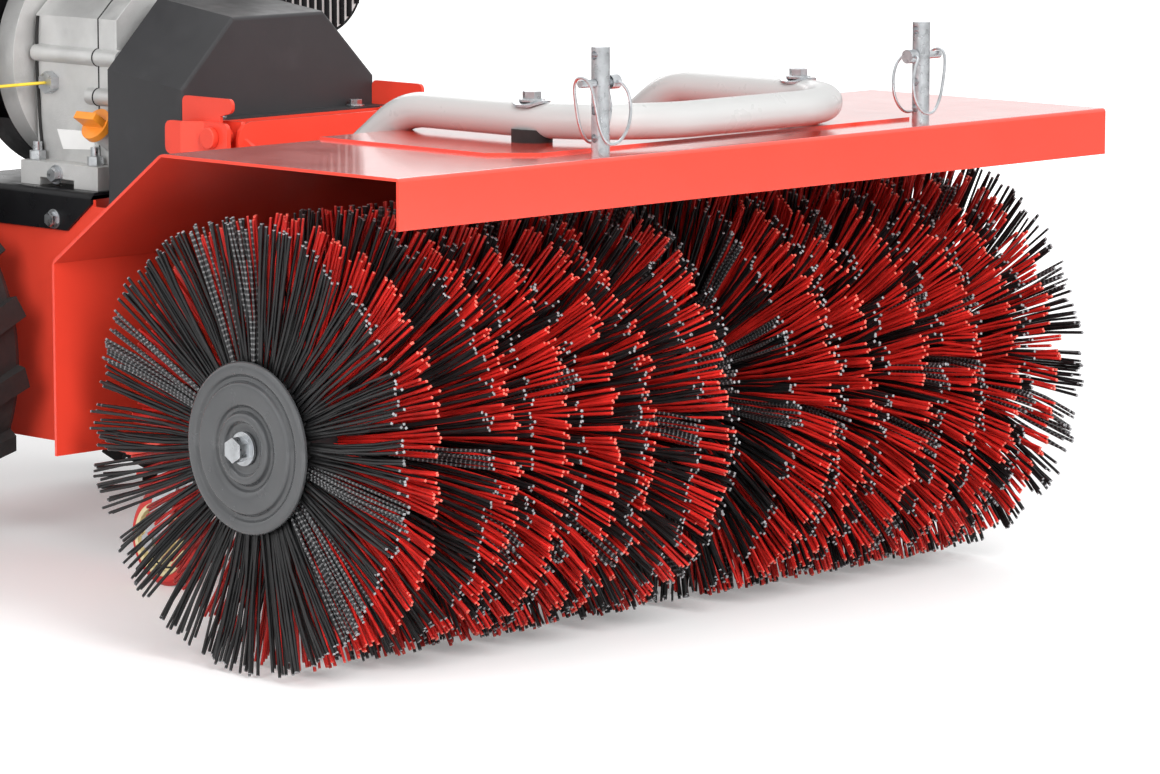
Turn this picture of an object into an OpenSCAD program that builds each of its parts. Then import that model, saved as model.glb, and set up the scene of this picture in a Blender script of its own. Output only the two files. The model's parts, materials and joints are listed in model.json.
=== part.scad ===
// Walk-behind power brush sweeper: brush head with hood, chassis, engine, drive line, handlebar.
// Millimetres, +Z up, floor at z = 0; the machine looks towards -Y and its left is -X.
// Every sub-part is drawn with the brush axis over y = 0, then moved as a whole so that the
// origin lies under the middle of the machine.

/* [Brush] */
// Diameter over the bristle tips
brush_d = 350; // [340:2:360]
// Length over both brush halves
brush_len = 770; // [720:5:790]
// Free space between the two brush halves
brush_gap = 76; // [74:1:90]
// Outside diameter of the brush cores
core_d = 122; // [114:1:128]
// Wall of the brush cores
core_wall = 8; // [5:0.5:12]
// Diameter of the brush shaft
brush_shaft_d = 25; // [22:1:28]
// Diameter of the pressed end discs
end_disc_d = 132; // [128:1:140]
// Rows of tufts on each brush half
tuft_rows = 14; // [8:1:14]
// Tufts around one row
tufts_round = 15; // [10:1:16]
// Width of one tuft
tuft_w = 4; // [3:0.5:6]

/* [Hood] */
// Width of the hood
hood_w = 806; // [800:2:840]
// Space between the bristle tips and the hood top
hood_gap = 40; // [30:1:50]
// Sheet thickness of the hood
hood_t = 2.4; // [2:0.1:3]
// Front lip, measured forward from the brush axis
hood_front = 184; // [182:1:200]
// Rear edge of the flat top, behind the brush axis
hood_top_rear = 77; // [70:1:85]
// Rear plate, behind the brush axis
hood_rear = 207; // [195:1:215]
// Fall of the slanted plate
hood_fall = 92.6; // [80:1:100]
// Height of the rear plate
hood_rear_h = 152; // [140:1:160]
// Height of the front lip
lip_h = 38; // [25:1:50]
// Width of the stiffening pad
pad_w = 480; // [440:5:560]
// Thickness of the stiffening pad
pad_t = 2; // [1.5:0.1:4]

/* [Guard bar] */
// Tube diameter of the guard bar
bar_d = 28; // [24:1:30]
// Distance between the legs of the bar
bar_w = 304; // [298:2:312]
// Cross tube, measured forward from the brush axis
bar_front = 149; // [145:1:153]
// Tube axis above the hood top
bar_rise = 19; // [18.5:0.5:24]

/* [Accessory posts] */
// Diameter of a post
post_d = 14; // [12:0.5:16]
// Height of a post above the hood top
post_h = 82; // [70:1:95]
// Distance between the posts
post_pitch = 366; // [356:1:390]
// Posts, measured forward from the brush axis
post_front = 171; // [168:0.5:174]
// Cross holes in a post
post_holes = 4; // [4:1:5]
// Diameter of a cross hole
post_hole_d = 6.5; // [6:0.1:7]
// Diameter of a lock pin
pin_d = 6; // [5:0.1:6.2]
// Wire diameter of the bails
wire_d = 2; // [1.5:0.1:2.5]

/* [Chassis] */
// Width over the chassis side plates
chassis_w = 220; // [216:1:226]
// Length of the side plates
chassis_len = 502; // [488:2:528]
// Lower edge of the side plates above the floor
chassis_low = 88; // [80:1:100]
// Upper edge of the side plates under the engine
deck_z = 306; // [302:1:311]
// Thickness of the side plates
chassis_t = 3; // [2.5:0.1:4]
// Top of the hook plates above the deck
hook_rise = 94; // [90:1:97]
// Diameter of the hitch rod
hitch_d = 12; // [10:0.5:13]

/* [Wheels] */
// Diameter of the drive tyres
tyre_d = 320; // [310:2:330]
// Width of the drive tyres
tyre_w = 100; // [90:1:110]
// Distance between the middles of the drive tyres
track = 376; // [370:1:400]
// Diameter of the drive rims
rim_d = 180; // [160:1:200]
// Diameter of the wheel axle
axle_d = 20; // [18:0.5:24]
// Axle before the rear end of the side plates
axle_set = 110; // [100:1:118]
// Lugs around each side of a tyre
lugs_round = 16; // [12:1:18]
// Diameter of the castor wheels
castor_d = 80; // [70:1:90]
// Width of the castor wheels
castor_w = 28; // [22:1:32]
// Distance between the castors
castor_track = 356; // [346:2:370]
// Trail of the castors
castor_trail = 24; // [18:1:30]

/* [Engine] */
// Crankshaft above the engine base
crank_h = 106; // [104:0.5:110]
// Cylinder axis behind the brush axis
engine_y = 569.5; // [568:0.5:571]
// Depth of the crankcase along the crankshaft
case_depth = 84; // [82:1:87]
// Angle of the cylinder from upright
cylinder_tilt = 25; // [20:1:30]
// Diameter of the crankshaft end
crank_d = 20; // [18:0.5:22]

/* [Handlebar] */
// Tube diameter of the handlebar
handle_d = 25; // [22:1:27]
// Distance between the grips
handle_w = 470; // [440:2:520]
// Height of the grips
handle_z = 930; // [880:5:980]
// Rear end of the handlebar behind the brush axis
handle_rear = 1330; // [1290:5:1370]
// Diameter of the grips
grip_d = 33; // [30:0.5:36]
// Length of the grips
grip_len = 120; // [100:1:125]

/* [Hidden] */
$fn = 48;
over = 1;
run_gap = 0.1;
loose_gap = 0.3;
hull_fn = 32;
bend_steps = 5;
tube_sides = 16;
wire_sides = 8;

axis_z = brush_d / 2;
axle_z = tyre_d / 2;
hood_z = brush_d + hood_gap + hood_t;
slant_z = hood_z - hood_fall;
hood_low_z = slant_z - hood_rear_h;

gear_teeth = 12;
gear_module = 4;
gear_add = 3;
gear_ded = 4;
gear_face = 14;
gear_pitch_r = gear_teeth * gear_module / 2;
worm_pitch_r = 13;
gear_centre = gear_pitch_r + worm_pitch_r;
worm_pitch = PI * gear_module;
worm_turns = 4;
worm_steps = 10;
worm_points = 14;
thread_share = 0.3;
flank_share = 0.1;
tooth_shares = [0.5, 0.22];
input_z = axis_z + gear_centre;
input_d = 16;

flange_t = 5;
flange_d = core_d - core_wall;
core_in = brush_gap / 2 + flange_t;
core_out = brush_len / 2;
row_pitch = (core_out - core_in) / tuft_rows;
tuft_sink = core_wall / 2;
disc_h = 8;
disc_shares = [
  [0.11, 0.55], [0.28, 0.55], [0.35, 1], [0.45, 1], [0.52, 0.42], [0.58, 0.42],
  [0.65, 0.9], [0.74, 0.9], [0.81, 0.38], [0.87, 0.38], [0.94, 0.75], [1, 0.35]
];
end_bolt_d = 10;
end_bolt_af = 17;
end_bolt_l = 30;
end_washer_d = 26;
end_washer_t = 2.5;

box_wall = 7;
wheel_room = 4;
box_half = brush_gap / 2 - wheel_room;
wheel_cave_r = gear_pitch_r + gear_add + wheel_room;
worm_cave_r = worm_pitch_r + gear_add + wheel_room;
box_r = wheel_cave_r + box_wall * 2;
neck_r = worm_cave_r + box_wall;
neck_front = 50;
bush_t = 4;
worm_len = worm_pitch * worm_turns;

neck_flange_d = 84;
neck_flange_t = 8;

pad_front = 136;
pad_chamfer = 30;
bar_corner = 95;
bar_knee = 72;
bar_sink = 0.4;
bar_foot_l = 84;
bar_bolt_y = -67;
m8_d = 8;
m8_af = 13;
m8_hole = 9;
buffer_d = 32;
buffer_low = 7;
bolt_head_share = 0.6;
bolt_flange_share = 1.55;
bolt_flange_t_share = 0.14;

post_first = 13.8;
post_step = 20.7;
pin_level = 2;
pin_head_d = 11;
pin_head_l = 9;
pin_head_gap = 1.5;
pin_tip = 15;
bail_off = 16;
bail_drop = 40;
bail_half = 17;
bail_bend = 7;
bail_stub = 4;
bail_end = 5;

plate_t = 3;
base_z = deck_z + plate_t;
crank_z = base_z + crank_h;
hook_z = deck_z + hook_rise;
side_x = chassis_w / 2;
side_in = side_x - chassis_t;

hitch_space = 123;
plate_y = hood_rear + hitch_space;
adapter_t = 4;
adapter_play = 6;
adapter_w = 2 * (side_in - adapter_play);
adapter_r = 14;
adapter_drop = 20;
adapter_top = hook_z - adapter_drop;
cheek_inset = 10;
cheek_x = adapter_w / 2 - cheek_inset;
cheek_low = 165;
cheek_heel = 40;
cheek_back = 34;
front_set = 40;
front_y = plate_y + front_set;
hitch_set = 19;
hitch_y = plate_y + hitch_set;
hitch_drop = 33;
hitch_z = hook_z - hitch_drop;
hitch_head = 6;
hook_lead = 2;
hook_nose_y = plate_y - hook_lead;
hook_root = 21;
hook_rear_y = front_y + hook_root;
hook_nose_h = 11;
hook_throat = 15;
rear_y = hook_nose_y + chassis_len;
axle_y = rear_y - axle_set;
front_drop = 22;
front_top = hook_z - front_drop;
ear_drop = 48;
ear_z = hook_z - ear_drop;
ear_h = 28;
ear_joggle = 11;
ear_len = 66;
ear_round = 6;
hook_round = 5;
round_fn = 24;
ear_t = 4;
ear_split_share = 0.55;
step_drop = 9;
side_step_z = deck_z - step_drop;
side_nose_h = 60;
side_cut = 40;
rear_plate_h = 130;
bulkhead_set = 104;
bulkhead_y = front_y + bulkhead_set;
floor_len = 140;
shaft_hole = 44;

cover_t = 1.6;
cover_play = 0.5;
cover_front = hook_rear_y + cover_play;
cover_len = 96;
cover_rear = cover_front + cover_len;
cover_top_w = 104;
cover_h = 62;
cover_front_z = hook_z + cover_h;
cover_rise = 12;
cover_slope = 58;
cover_flange = 20;
cover_bolt_x = 79;
cover_bolt_af = 10;
cover_bolt_d = 6;

cover_room = 21;
plate_front = cover_rear + cover_room;
plate_len = 206;
plate_flange = 35;
plate_cut = 34;
plate_bolt_set = 49;
plate_bolt_y = plate_front + plate_bolt_set;
plate_bolt_drop = 26;
plate_bolt_z = base_z - plate_bolt_drop;
plate_bolt_af = 11;
plate_bolt_d = 8;

belt_w = 10;
belt_t = 8;
belt_set = 26;
belt1_y = cover_front + belt_set;
belt_pitch = 28;
belt2_y = belt1_y + belt_pitch;
pulley_lip = 3.5;
groove_w = 11;
pulley_wall = 3;
small_r = 24;
large_r = 56;
pulley_half = groove_w / 2 + pulley_wall;
hub_r = 17;
bearing_t = 12;
bearing_l = 14;
shaft_nose = 13;
trac_front = belt2_y - shaft_nose;

drive_half = 38;
drive_r = 46;
drive_nose = 50;
drive_front = axle_y - drive_nose;
drive_tail = 40;
drive_rear = axle_y + drive_tail;
drive_foot = 30;
axle_bush_l = 10;
axle_bush_t = 7;
axle_end = 40;
axle_out = track / 2 + axle_end;

case_lead = 34.5;
case_front = engine_y - case_lead;
case_rear = case_front + case_depth;
bell_seam = 4;
bell_l = 27;
bell_r = 103;
bell_neck_r = 72;
bell_rear = case_rear + bell_l;
case_x = 80;
base_w = 200;
base_h = 20.5;
base_lead = 55;
base_len = 104;
base_arch_d = 46;
arch_h = 7;
drain_af = 11;
stud_pitch = 78;
stud_x = 89;
stud_d = 8;
stud_af = 13;
case_top = 78;
case_shoulder = 40;
cover2_depth = 24;
cover2_lift = 0.5;
rib_rise = 7;
low_drop = 27;
boss_l = 12;
snout_r = 26;
snout_l = 8;
boss_r = 7.5;
boss_out = 6;
boss_spots = [
  [-case_x, rib_rise], [-case_x, -low_drop], [case_x, rib_rise], [case_x, -low_drop], [0, case_top]
];
cover2_bolt_af = 8;
barrel_r = 40;
barrel_from = 60;
fin_from = 92;
fin_count = 7;
fin_pitch = 10;
fin_t = 3;
fin_w = 104;
head_h = 44;
head_w = 96;
valve_h = 26;
valve_w = 84;
round_r = 10;
shroud_depth = 34;
shroud_r = 104;
shroud_wall = 2.5;
shroud_top = 146;
shroud_w = 120;
recoil_r = 92;
recoil_h = 40;
recoil_slots = 18;
recoil_shares = [[0, 1], [0.7, 1], [0.92, 0.7], [1, 0.2], [1, 0]];
vent_shares = [0.35, 0.3];
pull_shares = [0.55, 0.1];
flywheel_share = 0.8;
slot_w = 7;
grip_w = 46;
grip_h = 20;
grip_t = 16;
tank_w = 180;
tank_l = 150;
tank_h = 90;
tank_x = -80;
tank_r = 22;
tank_shares = [0.3, 0.4];
neck2_r = 20;
neck2_h = 10;
cap_r = 28;
cap_h = 20;
cap_ribs = 12;
cap_rib_d = 6;
cap_rib_share = 0.8;
muffler_r = 44;
muffler_l = 100;
muffler_x = 150;
muffler_rise = 66;
muffler_z = crank_z + muffler_rise;
pipe_d = 20;
pipe_l = 45;
guard_gap = 6;
guard_t = 2;
guard_slots = 9;
guard_slot_w = 6;
guard_share = 0.5;
clean_w = 96;
clean_l = 110;
clean_h = 100;
clean_share = 0.35;
clean_x = shroud_w + clean_w / 2;
clean_rise = 62;
clean_z = crank_z + clean_rise;
drain_rise = 10.7;
drain_z = base_z + drain_rise;
sensor_rise = 88;
sensor_set = 28;
sensor_y = engine_y + sensor_set;
sensor_z = base_z + sensor_rise;
sensor_af = 17;
sensor_l = 9;
wire_t = 3;
wire_share = 0.7;
dip_neck_r = 11.8;
dip_y = case_front - cover2_depth / 2;
dip_rise = 47;
dip_z = base_z + dip_rise;
dip_tilt = 55;
dip_neck_l = 11.5;
dip_d = 19;
dip_depth = 24;
dip_cap_r = 15;
dip_cap_h = 7;
dip_wing = 26;
dip_wing_t = 7;
dip_wing_h = 15;

arm_play = 3;
arm_x = side_in - handle_d / 2 - arm_play;
arm_set = 44;
arm_y = rear_y - arm_set;
arm_drop = 40;
arm_z = deck_z - arm_drop;
arm_run = 86;
arm_knee_y = arm_y + arm_run;
arm_climb = 210;
arm_knee_z = arm_z + arm_climb;
grip_run = 240;
arm_top_y = handle_rear - grip_run;
grip_climb = 85;
arm_top_z = handle_z - grip_climb;
arm_bend = 70;
arm_tail = 20;
tail_share = 0.4;
grip_cap = 4;
cross_share = 0.72;
pivot_d = 10;
panel_w = 230;
panel_l = 120;
panel_h = 46;
panel_nose = 18;
slot_l = 64;
slot_share = 0.1;
stick_share = 0.3;
slot2_w = 13;
stick_d = 9;
stick_l = 130;
knob_d = 30;
stick_pin_d = 5;
lever_t = 8;
lever_h = 16;
lever_l = 165;
lever_rise = 26;
lever_pin_d = 6;
lever_pad_w = 30;
lever_pad_l = 90;
lever_lift = 22;
lug_t = 6;
lug_l = 20;
thr_r = 17;
thr_t = 6;
thr_l = 52;
thr_pin_d = 8;
thr_pin_l = 20;

castor_set = 101;
castor_y = hood_rear + castor_set;
castor_z = 112;
mount_t = 4;
mount_w = 72;
mount_l = 140;
mount_h = 100;
stem_d = 12;
stem_head_d = 22;
stem_head_h = 8;
swivel_d = 50;
swivel_t = 6;
fork_t = 3.5;
fork_gap = 1.5;
fork_w = 26;
castor_axle_d = 8;
castor_rim_d = 58;
castor_web = 6;
castor_hub_d = 24;
castor_lip = 2;

rim_web = 5;
rim_wall = 4;
hub_d = 44;
hub_l = 66;
bead_shares = [0.7, 0.7, 0.95, 1, 0.93, 0.8];
wall_shares = [0, 0.1, 0.36, 0.6, 0.8, 0.86];
lug_h = 12;
lug_w = 20;
lug_lean = 24;
lug_share = 0.9;

arm_dir_y = arm_top_y - arm_knee_y;
arm_dir_z = arm_top_z - arm_knee_z;
cross_x = arm_x + (handle_w / 2 - arm_x) * cross_share;
cross_y = arm_knee_y + arm_dir_y * cross_share;
cross_z = arm_knee_z + arm_dir_z * cross_share;
grip_tilt = atan2(handle_z - arm_top_z, handle_rear - arm_top_y);

front_reach = max(hood_front, post_front + bail_off + wire_d / 2);
rear_reach = handle_rear + grip_cap * cos(grip_tilt) + grip_d / 2 * sin(grip_tilt);
frame_y = (front_reach - rear_reach) / 2;

red = [0.80, 0.13, 0.11];
black = [0.12, 0.12, 0.13];
grey = [0.84, 0.84, 0.84];
zinc = [0.72, 0.74, 0.76];
alloy = [0.66, 0.66, 0.65];
steel = [0.55, 0.56, 0.58];
cream = [0.93, 0.88, 0.66];
orange = [0.95, 0.55, 0.1];
yellow = [0.95, 0.85, 0.2];

// Outline helpers

function unit(v) = v / norm(v);
function left_of(d) = [-d[1], d[0]];
function mitre(a, b) = (left_of(a) + left_of(b)) / (1 + a * b);
function heads(p) = [for (i = [0:len(p) - 2]) unit(p[i + 1] - p[i])];
function side_step(h, i) = i == 0 ? left_of(h[0]) : i == len(h) ? left_of(h[i - 1]) : mitre(h[i - 1], h[i]);

// Closed outline of a folded sheet whose one face follows the points
function sheet(p, t) = concat(p, [for (i = [len(p) - 1:-1:0]) p[i] + t * side_step(heads(p), i)]);

function ring_pt(r, a) = [r * cos(a), r * sin(a)];

// Rectangle with bevelled and softened corners
function soft_rect(w, h, r) = [
  for (c = [[1, 1, 0], [-1, 1, 90], [-1, -1, 180], [1, -1, 270]])
    for (k = [0:3])
      [c[0] * (w / 2 - r), c[1] * (h / 2 - r)] + ring_pt(r, c[2] + 30 * k)
];

module along_x(x0, l) {
  translate([x0, 0, 0]) rotate([90, 0, 90]) linear_extrude(l) children();
}

module along_y(y0, l) {
  translate([0, y0 + l, 0]) rotate([90, 0, 0]) linear_extrude(l) children();
}

module along_z(z0, l) {
  translate([0, 0, z0]) linear_extrude(l) children();
}

module rod_x(d, x0, x1) {
  translate([x0, 0, 0]) rotate([0, 90, 0]) cylinder(d = d, h = x1 - x0);
}

module rod_y(d, y0, y1) {
  translate([0, y1, 0]) rotate([90, 0, 0]) cylinder(d = d, h = y1 - y0);
}

module rod_z(d, z0, z1) {
  translate([0, 0, z0]) cylinder(d = d, h = z1 - z0);
}

module both_sides() {
  children();
  mirror([1, 0, 0]) children();
}

// Points of a path that turns round every inner point with a bend of its own radius
function bend_pts(a, v, b, r) =
  let (
    h = unit(v - a), k = unit(b - v), turn = acos(h * k), cut = r * tan(turn / 2),
    out = -unit(k - (k * h) * h), c = v - h * cut - r * out
  )
  [for (i = [0:bend_steps]) c + r * (out * cos(turn * i / bend_steps) + h * sin(turn * i / bend_steps))];

function bent_path(p, bends) = concat(
  [p[0]],
  [for (i = [1:len(p) - 2]) each bend_pts(p[i - 1], p[i], p[i + 1], bends[i - 1])],
  [p[len(p) - 1]]
);

function path_heads(q) = [
  for (i = [0:len(q) - 1]) unit(q[min(i + 1, len(q) - 1)] - q[max(i - 1, 0)])
];

// Sideways vectors carried along the path without twist
function carried(t, i, n) =
  i == len(t) ? [] : let (m = unit(n - (n * t[i]) * t[i])) concat([m], carried(t, i + 1, m));

// Round bar through a row of points, with a bend of its own radius at every inner point
module bent_bar(p, d, bends, sides) {
  q = bent_path(p, bends);
  t = path_heads(q);
  n = carried(t, 0, cross(t[0], unit([1, 2, 3])));
  m = len(q);
  polyhedron(
    points = [
      for (i = [0:m - 1]) for (k = [0:sides - 1])
        q[i] + d / 2 * (n[i] * cos(360 * k / sides) + cross(t[i], n[i]) * sin(360 * k / sides))
    ],
    faces = concat(
      [[for (k = [0:sides - 1]) k]],
      [for (i = [0:m - 2]) for (k = [0:sides - 1]) let (a = i * sides + k, b = i * sides + (k + 1) % sides)
        each [[a, a + sides, b], [b, a + sides, b + sides]]],
      [[for (k = [sides - 1:-1:0]) (m - 1) * sides + k]]
    )
  );
}

// Flanged hex bolt that looks along +Z, with its seat at z = 0
module flange_bolt(af, d, l) {
  rod_z(af * bolt_flange_share, 0, af * bolt_flange_t_share);
  cylinder(d = af / cos(30), h = af * bolt_head_share, $fn = 6);
  rod_z(d, -l, af * bolt_flange_t_share);
}

module hex_nut(af, h) {
  cylinder(d = af / cos(30), h = h, $fn = 6);
}

// Brush

module at_brush_axis() {
  translate([0, 0, axis_z]) children();
}

// One half of the brush: core tube and its rows of tufts
module brush_half() {
  tip = sqrt(pow(brush_d / 2, 2) - pow(tuft_w / 2, 2));
  root = core_d / 2 - tuft_sink;
  difference() {
    union() {
      rod_x(core_d, core_in, core_out);
      for (i = [0:tuft_rows - 1])
        along_x(core_in + (i + 0.5) * row_pitch - tuft_w / 2, tuft_w)
          rotate(i % 2 * 180 / tufts_round)
            polygon([
              for (k = [0:tufts_round - 1])
                let (a = k * 360 / tufts_round)
                  for (q = [[root, -1], [tip, -1], [tip, 1], [root, 1]])
                    [q[0] * cos(a) - q[1] * tuft_w / 2 * sin(a), q[0] * sin(a) + q[1] * tuft_w / 2 * cos(a)]
            ]);
    }
    rod_x(core_d - 2 * core_wall, core_in - over, core_out + over);
  }
}

module brush_left() {
  color(red) at_brush_axis() mirror([1, 0, 0]) brush_half();
}

module brush_right() {
  color(red) at_brush_axis() brush_half();
}

// Shaft with the two welded inner flanges and a tapped hole in each end
module brush_shaft() {
  color(steel) at_brush_axis() difference() {
    union() {
      rod_x(brush_shaft_d, -core_out, core_out);
      both_sides() rod_x(flange_d, brush_gap / 2, core_in);
    }
    both_sides() rod_x(end_bolt_d + 2 * loose_gap, core_out - end_bolt_l, core_out + over);
  }
}

module brush_end_discs() {
  r = end_disc_d / 2;
  color(black) at_brush_axis() both_sides() translate([core_out, 0, 0]) rotate([0, 90, 0])
    rotate_extrude() polygon(concat(
      [[disc_shares[0][0] * r, 0]],
      [for (s = disc_shares) [s[0] * r, s[1] * disc_h]],
      [[r, 0]]
    ));
}

module brush_end_bolts() {
  seat = disc_shares[1][1] * disc_h;
  color(zinc) at_brush_axis() both_sides() translate([core_out + seat, 0, 0]) rotate([0, 90, 0]) {
    rod_z(end_washer_d, 0, end_washer_t);
    translate([0, 0, end_washer_t]) hex_nut(end_bolt_af, end_bolt_af * bolt_head_share);
    rod_z(end_bolt_d, -end_bolt_l + over, end_washer_t);
  }
}

module worm_wheel() {
  tip = gear_pitch_r + gear_add;
  root = gear_pitch_r - gear_ded;
  color(steel) at_brush_axis() difference() {
    along_x(-gear_face / 2, gear_face) polygon([
      for (k = [0:gear_teeth - 1])
        let (a = k * 360 / gear_teeth)
          for (q = [[root, -0.5 * tooth_shares[0]], [tip, -0.5 * tooth_shares[1]],
              [tip, 0.5 * tooth_shares[1]], [root, 0.5 * tooth_shares[0]]])
            ring_pt(q[0], a + q[1] * 360 / gear_teeth)
    ]);
    rod_x(brush_shaft_d + 2 * run_gap, -gear_face, gear_face);
  }
}

// Brush gearbox and its input shaft

module at_input() {
  translate([0, 0, input_z]) children();
}

module brush_gearbox() {
  color(black) difference() {
    union() {
      at_brush_axis() rod_x(2 * box_r, -box_half, box_half);
      at_input() rod_y(2 * neck_r, -neck_front, hood_rear - hood_t);
      at_input() rod_y(neck_flange_d, hood_rear - hood_t - neck_flange_t, hood_rear - hood_t);
    }
    at_brush_axis() rod_x(2 * wheel_cave_r, -gear_face / 2 - wheel_room, gear_face / 2 + wheel_room);
    at_brush_axis() rod_x(brush_shaft_d + 2 * run_gap, -box_half - over, box_half + over);
    at_input() rod_y(2 * worm_cave_r, -worm_len / 2 - wheel_room, worm_len / 2 + wheel_room);
    at_input() rod_y(input_d + 2 * run_gap, -neck_front + box_wall, hood_rear + over);
  }
}

module worm_profile() {
  root = worm_pitch_r - gear_ded;
  tip = worm_pitch_r + gear_add;
  polygon([
    for (k = [0:worm_points - 1])
      let (u = abs(k / worm_points - 0.5) * 2, w = (thread_share + flank_share - u) / flank_share)
        ring_pt(root + (tip - root) * min(1, max(0, w)), k * 360 / worm_points)
  ]);
}

module input_shaft() {
  color(steel) at_input() {
    rod_y(input_d, -neck_front + box_wall + over, belt1_y + pulley_half);
    translate([0, worm_len / 2, 0]) rotate([90, 0, 0])
      linear_extrude(worm_len, twist = -360 * worm_turns, slices = worm_steps * worm_turns)
        rotate(-90) worm_profile();
  }
}

// Grooved belt wheel about the Y axis, with its groove over y
module belt_wheel(r, y, bore) {
  lip = r + pulley_lip + belt_t;
  hub = bore / 2;
  translate([0, y, 0]) rotate([90, 0, 0]) rotate_extrude() polygon([
    [hub, -pulley_half], [lip, -pulley_half], [lip, -groove_w / 2], [r, -groove_w / 2],
    [r, groove_w / 2], [lip, groove_w / 2], [lip, pulley_half], [hub, pulley_half]
  ]);
}

module brush_pulley() {
  color(steel) at_input() belt_wheel(large_r, belt1_y, input_d + 2 * run_gap);
}

module belt_loop(y) {
  difference() {
    along_y(y - belt_w / 2, belt_w) hull() {
      translate([0, input_z]) circle(r = large_r + loose_gap + belt_t, $fn = hull_fn);
      translate([0, crank_z]) circle(r = small_r + loose_gap + belt_t, $fn = hull_fn);
    }
    along_y(y - belt_w, belt_w * 2) hull() {
      translate([0, input_z]) circle(r = large_r + 2 * loose_gap, $fn = hull_fn);
      translate([0, crank_z]) circle(r = small_r + 2 * loose_gap, $fn = hull_fn);
    }
  }
}

module brush_belt() {
  color(black) belt_loop(belt1_y);
}

module traction_belt() {
  color(black) belt_loop(belt2_y);
}

// Hood and what stands on it

hood_line = [
  [hood_rear, hood_low_z], [hood_rear, slant_z], [hood_top_rear, hood_z],
  [-hood_front, hood_z], [-hood_front, hood_z - lip_h]
];

module hood() {
  color(red) difference() {
    union() {
      along_x(-hood_w / 2, hood_w) polygon(sheet(hood_line, hood_t));
      along_z(hood_z, pad_t) polygon([
        [-pad_w / 2, hood_top_rear], [pad_w / 2, hood_top_rear], [pad_w / 2, -pad_front + pad_chamfer],
        [pad_w / 2 - pad_chamfer, -pad_front], [-pad_w / 2 + pad_chamfer, -pad_front],
        [-pad_w / 2, -pad_front + pad_chamfer]
      ]);
    }
    both_sides() translate([bar_w / 2, bar_bolt_y, 0]) rod_z(m8_hole, hood_z - lip_h, hood_z + lip_h);
    at_input() rod_y(input_d + 4 * loose_gap, hood_rear - 2 * hood_t, hood_rear + over);
  }
}

bar_z = hood_z + bar_rise;
slant_run = hood_rear - hood_top_rear;
slant_l = norm([slant_run, hood_fall]);
bar_seat = [hood_top_rear, hood_z] + (bar_d / 2 - bar_sink) * [hood_fall, slant_run] / slant_l;
bar_knee_y = bar_seat[0] - (bar_z - bar_seat[1]) * slant_run / hood_fall;

// Bent tube that lies on the slanted plate at the rear and on two buffers at the front
module bar_tube() {
  foot = bar_seat + bar_foot_l * [slant_run, -hood_fall] / slant_l;
  half = [[bar_w / 2, foot[0], foot[1]], [bar_w / 2, bar_knee_y, bar_z], [bar_w / 2, -bar_front, bar_z]];
  points = concat(half, [for (i = [len(half) - 1:-1:0]) [-half[i][0], half[i][1], half[i][2]]]);
  bent_bar(points, bar_d, [bar_knee, bar_corner, bar_corner, bar_knee], tube_sides);
}

module guard_bar() {
  color(grey) difference() {
    bar_tube();
    along_x(-hood_w / 2, hood_w) polygon([
      [-bar_front, hood_z + pad_t], [hood_top_rear, hood_z + pad_t], [hood_top_rear, hood_z],
      [hood_rear, slant_z], [hood_rear, hood_low_z], [-bar_front, hood_low_z]
    ]);
    both_sides() translate([bar_w / 2, bar_bolt_y, 0]) rod_z(m8_hole, hood_z, bar_z + bar_d);
  }
}

module bar_buffers() {
  color(black) difference() {
    both_sides() translate([bar_w / 2, bar_bolt_y, 0]) difference() {
      rod_z(buffer_d, hood_z + pad_t, bar_z - buffer_low);
      rod_z(m8_hole, hood_z, bar_z + over);
    }
    bar_tube();
  }
}

module accessory_posts() {
  color(zinc) both_sides() translate([post_pitch / 2, -post_front, hood_z]) difference() {
    rod_z(post_d, 0, post_h);
    for (i = [0:post_holes - 1])
      if (post_first + i * post_step < post_h - post_hole_d / 2)
        translate([0, 0, post_first + i * post_step]) rod_x(post_hole_d, -post_d, post_d);
  }
}

pin_z = hood_z + post_first + pin_level * post_step;

// Frame at the lock pin of the right post, with x towards the pin's tip
module at_pin() {
  translate([post_pitch / 2, -post_front, pin_z]) children();
}

pin_head_x = -post_d / 2 - pin_head_gap - pin_head_l / 2;

module lock_pin() {
  at_pin() difference() {
    union() {
      rod_x(pin_d, pin_head_x, post_d / 2 + pin_tip);
      rod_x(pin_head_d, pin_head_x - pin_head_l / 2, pin_head_x + pin_head_l / 2);
    }
    translate([pin_head_x, 0, 0]) rod_y(wire_d + 2 * loose_gap, -pin_head_d, pin_head_d);
  }
}

module lock_pin_left() {
  color(zinc) mirror([1, 0, 0]) lock_pin();
}

module lock_pin_right() {
  color(zinc) lock_pin();
}

module pin_bail() {
  tip_x = post_d / 2 + pin_tip - pin_d / 2;
  at_pin() bent_bar([
    [pin_head_x, pin_head_d / 2 + bail_stub, 0], [pin_head_x, -bail_off, 0],
    [pin_head_x + bail_bend / 2, -bail_off, -bail_drop / 2],
    [pin_head_x + bail_half, -bail_off, -bail_drop],
    [tip_x - bail_bend, -bail_off, -bail_drop],
    [tip_x, -bail_off, -bail_drop / 2], [tip_x, -bail_off, bail_end]
  ], wire_d, [bail_bend / 2, bail_bend, bail_bend, bail_bend, bail_bend], wire_sides);
}

module pin_bail_left() {
  color(zinc) mirror([1, 0, 0]) pin_bail();
}

module pin_bail_right() {
  color(zinc) pin_bail();
}

// Hitch and chassis

module at_hitch() {
  translate([0, hitch_y, hitch_z]) children();
}

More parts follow.
